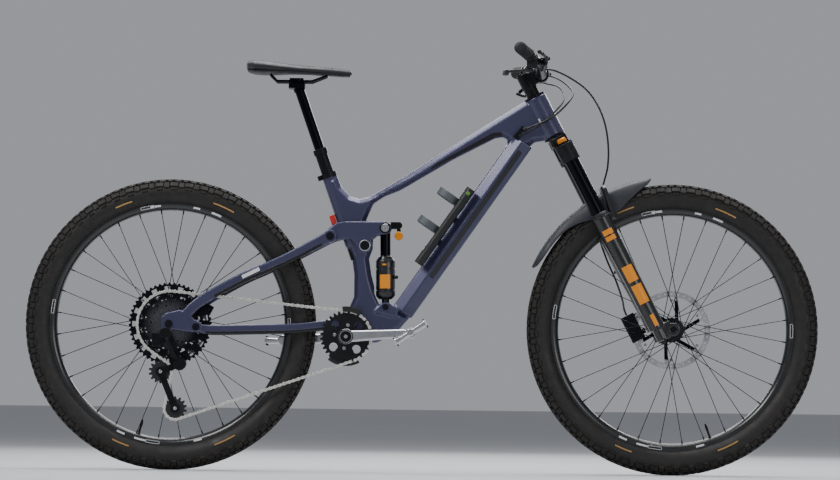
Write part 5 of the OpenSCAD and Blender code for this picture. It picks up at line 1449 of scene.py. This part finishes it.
class BIKE_OT_saddle(Operator):
    """Padded saddle with its channel, seams and base, the rails and the dropper post"""
    bl_idname = "bike.saddle"
    bl_label = "Saddle and post"

    # along the saddle from tail to nose: X, half width, top height, crown drop, underside height
    STATIONS = ((-460, 30, 1056, 3, 1040), (-455, 46, 1059, 5, 1035), (-440, 62, 1061.5, 7, 1031),
                (-415, 67, 1061, 9, 1030), (-385, 62, 1058, 10, 1030), (-350, 44, 1054, 9, 1031),
                (-315, 31, 1050.5, 8, 1030.5), (-280, 24, 1048, 7, 1028.5), (-245, 20.5, 1045.5, 7, 1026.5),
                (-212, 18.5, 1043, 7, 1024.5), (-194, 15, 1040, 6, 1024.4), (-187.2, 8, 1036, 3, 1027))

    def execute(self, context):
        rows = spread_over([(x, w, t) for x, w, t, d, u in self.STATIONS], 45)
        rest = spread_over([(d, u, 0) for x, w, t, d, u in self.STATIONS], 45)
        rings, lip = [], []
        for (x, half, top), (drop, under, _) in zip(rows, rest):
            ring = []
            channel = 4.2 * math.exp(-((x + 330) / 78) ** 4)
            for k in range(28):
                a = 2 * math.pi * k / 28
                y = half * math.copysign(abs(math.cos(a)) ** 0.72, math.cos(a))
                if math.sin(a) >= 0:
                    z = top - drop * (abs(y) / half) ** 2.2 - channel * math.exp(-(y / 8.5) ** 2)
                    z -= (top - drop - under) * 0.34 * (1 - math.sin(a)) ** 2.2
                else:
                    z = under + (top - drop - under) * 0.66 * (1 + math.sin(a)) ** 1.6
                    y *= 0.9 + 0.1 * (1 + math.sin(a))
                ring.append(Vector((x, y, z)))
            rings.append(ring)
            lip.append((x, half, under + 1.5))
        cover = piece("saddle_padding", *skin(rings))
        finer = cover.modifiers.new("finer", "SUBSURF")
        finer.levels = finer.render_levels = 1
        settle(cover)
        dress(cover, "seat", "cover", ["saddle"], crease=180)
        shell = []
        for x, half, z in lip[2:-3]:
            shell.append([Vector((x, y, z + h)) for y, h in (
                (-half * 0.86, 0.5), (-half * 0.8, -3.4), (0, -5.2), (half * 0.8, -3.4), (half * 0.86, 0.5),
                (half * 0.5, 1.5), (-half * 0.5, 1.5))])
        base = piece("saddle_base", *skin(shell))
        dress(base, "seat", "black_plastic", crease=50)
        seams = []
        for hand in (1, -1):
            path = [Vector((x, hand * half * 0.56, top - drop * 0.56 ** 2.2 + 0.1))
                    for (x, half, top), (drop, under, _) in list(zip(rows, rest))[3:-3]]
            seams.append(sweep("seam", path, [(0.9, 0.9)] * 2, "round"))
        dress(joined("saddle_seams", seams), "seat", "hose")
        repaint("stanchion", "saddle_rails", "dropper_inner")
        wiper = lathe("post_collar", [(13.2, -13), (17.6, -13.4), (18.3, -12.4), (18.3, -5), (17.5, -4.2),
                                      (17.5, -2.6), (16, 0.4), (13.2, 1.2)], POST(0, 0, 0), POST_UP, 48)
        dress(wiper, "frame", "satin")
        return {"FINISHED"}


class BIKE_OT_extras(Operator):
    """Bottle cage, hand pump and rear light"""
    bl_idname = "bike.extras"
    bl_label = "Cage, pump and light"

    def execute(self, context):
        moulded("cage_moulding", "bottle_cage", "frame", "cage_grey", 1.1, 4)
        repaint("black_plastic", "mini_pump")
        along = DOWN_TUBE(1, 0, 0) - DOWN_TUBE(0, 0, 0)
        spot = DOWN_TUBE(0, -42, 9)
        cap = lathe("pump_cap", [(11, -22), (12.3, -21), (12.3, -6), (10, -4.6), (3, -4.4), (3, -22)], spot,
                    along, 32)
        dress(cap, "frame", "black_plastic")
        dot = solid_lathe("pump_button", [(5.2, 11.2), (5.2, 12.2), (4.2, 12.8), (2, 12.8)],
                          DOWN_TUBE(-18, -42, 9), (0, -1, 0), 24)
        dress(dot, "frame", "green")
        moulded("light_lens", "rear_light", "frame", "red_lens", 0.7, 4)
        return {"FINISHED"}


class BIKE_OT_stage(Operator):
    """Camera, soft studio lights, pale floor and pale surroundings"""
    bl_idname = "bike.stage"
    bl_label = "Stage"

    # name, place and target in metres, width and height in metres, power in watts
    LIGHTS = (("over", (0.2, 0.6, 3.4), (0, 0, 0.4), 3.4, 2.6, 190),
              ("key", (-2.4, -2.4, 3.4), (0, 0, 0.5), 2.2, 1.4, 95),
              ("fill", (3.2, -4.2, 1.5), (0, 0, 0.5), 2.4, 1.6, 32),
              ("back", (0.5, 3.4, 2.0), (0, 0, 0.6), 3.4, 1.2, 60))

    def execute(self, context):
        scene = context.scene
        data = bpy.data.cameras.new("camera")
        data.lens, data.sensor_width, data.clip_end = 169, 36, 100
        camera = bpy.data.objects.new("camera", data)
        scene.collection.objects.link(camera)
        eye, aim = Vector((0.117, -10.2, 0.189)), Vector((-0.006, 0, 0.601))
        roll = Quaternion((0, 0, 1), math.radians(0.66))
        camera.rotation_mode = "QUATERNION"
        camera.location = eye
        camera.rotation_quaternion = (aim - eye).to_track_quat("-Z", "Y") @ roll
        scene.camera = camera
        for name, place, target, wide, high, power in self.LIGHTS:
            lamp = bpy.data.lights.new(name, "AREA")
            lamp.shape, lamp.size, lamp.size_y, lamp.energy = "RECTANGLE", wide, high, power
            holder = bpy.data.objects.new(name, lamp)
            holder.location = place
            holder.rotation_euler = (Vector(target) - Vector(place)).to_track_quat("-Z", "Y").to_euler()
            scene.collection.objects.link(holder)
        world = bpy.data.worlds.new("pale studio")
        world.use_nodes = True
        tree = world.node_tree
        tree.nodes.clear()
        pale = add(tree, "ShaderNodeBackground", {"Color": linear("#DDE0E6"), "Strength": 0.46})
        add(tree, "ShaderNodeOutputWorld", {"Surface": pale.outputs[0]})
        scene.world = world
        size = 60000
        floor = piece("floor", [(-size, -size, 0), (size, -size, 0), (size, size, 0), (-size, size, 0)],
                      [(0, 1, 2, 3)])
        if floor.data.polygons[0].normal.z < 0:
            floor.data.flip_normals()
        floor.data.materials.append(surface("Pale studio floor", linear("#B4B6B9"), 0.75, grain=30, depth=0.1,
                                            spread=0.02, patch=900, edge=0.1))
        return {"FINISHED"}


OPERATORS = (BIKE_OT_finishes, BIKE_OT_stage, BIKE_OT_tyres, BIKE_OT_wheels, BIKE_OT_front_frame,
             BIKE_OT_rear_stays, BIKE_OT_shock, BIKE_OT_fork, BIKE_OT_cockpit, BIKE_OT_hoses,
             BIKE_OT_drivetrain, BIKE_OT_pedals, BIKE_OT_saddle, BIKE_OT_extras)
SETTINGS = {"bike_frame": BikeFrameSettings, "bike_wheels": BikeWheelSettings,
            "bike_drive": BikeDriveSettings, "bike_seat": BikeSeatSettings}


class BIKE_PT_maker(Panel):
    """Lists the bike's sizes and colours, and a button for each piece"""
    bl_idname = "BIKE_PT_maker"
    bl_label = "Mountain bike"
    bl_space_type = "VIEW_3D"
    bl_region_type = "UI"
    bl_category = "Bike"

    def draw(self, context):
        for key, group in SETTINGS.items():
            box = self.layout.box()
            for prop in group.__annotations__:
                box.prop(getattr(context.scene, key), prop)
        for operator in OPERATORS:
            self.layout.operator(operator.bl_idname)


def register():
    for cls in (*SETTINGS.values(), *OPERATORS, BIKE_PT_maker):
        bpy.utils.register_class(cls)
    for key, group in SETTINGS.items():
        setattr(bpy.types.Scene, key, PointerProperty(type=group))


def unregister():
    for key in SETTINGS:
        delattr(bpy.types.Scene, key)
    for cls in (BIKE_PT_maker, *reversed(OPERATORS), *SETTINGS.values()):
        bpy.utils.unregister_class(cls)


def main():
    register()
    for operator in OPERATORS:
        group, name = operator.bl_idname.split(".")
        getattr(getattr(bpy.ops, group), name)()


if __name__ == "__main__":
    main()
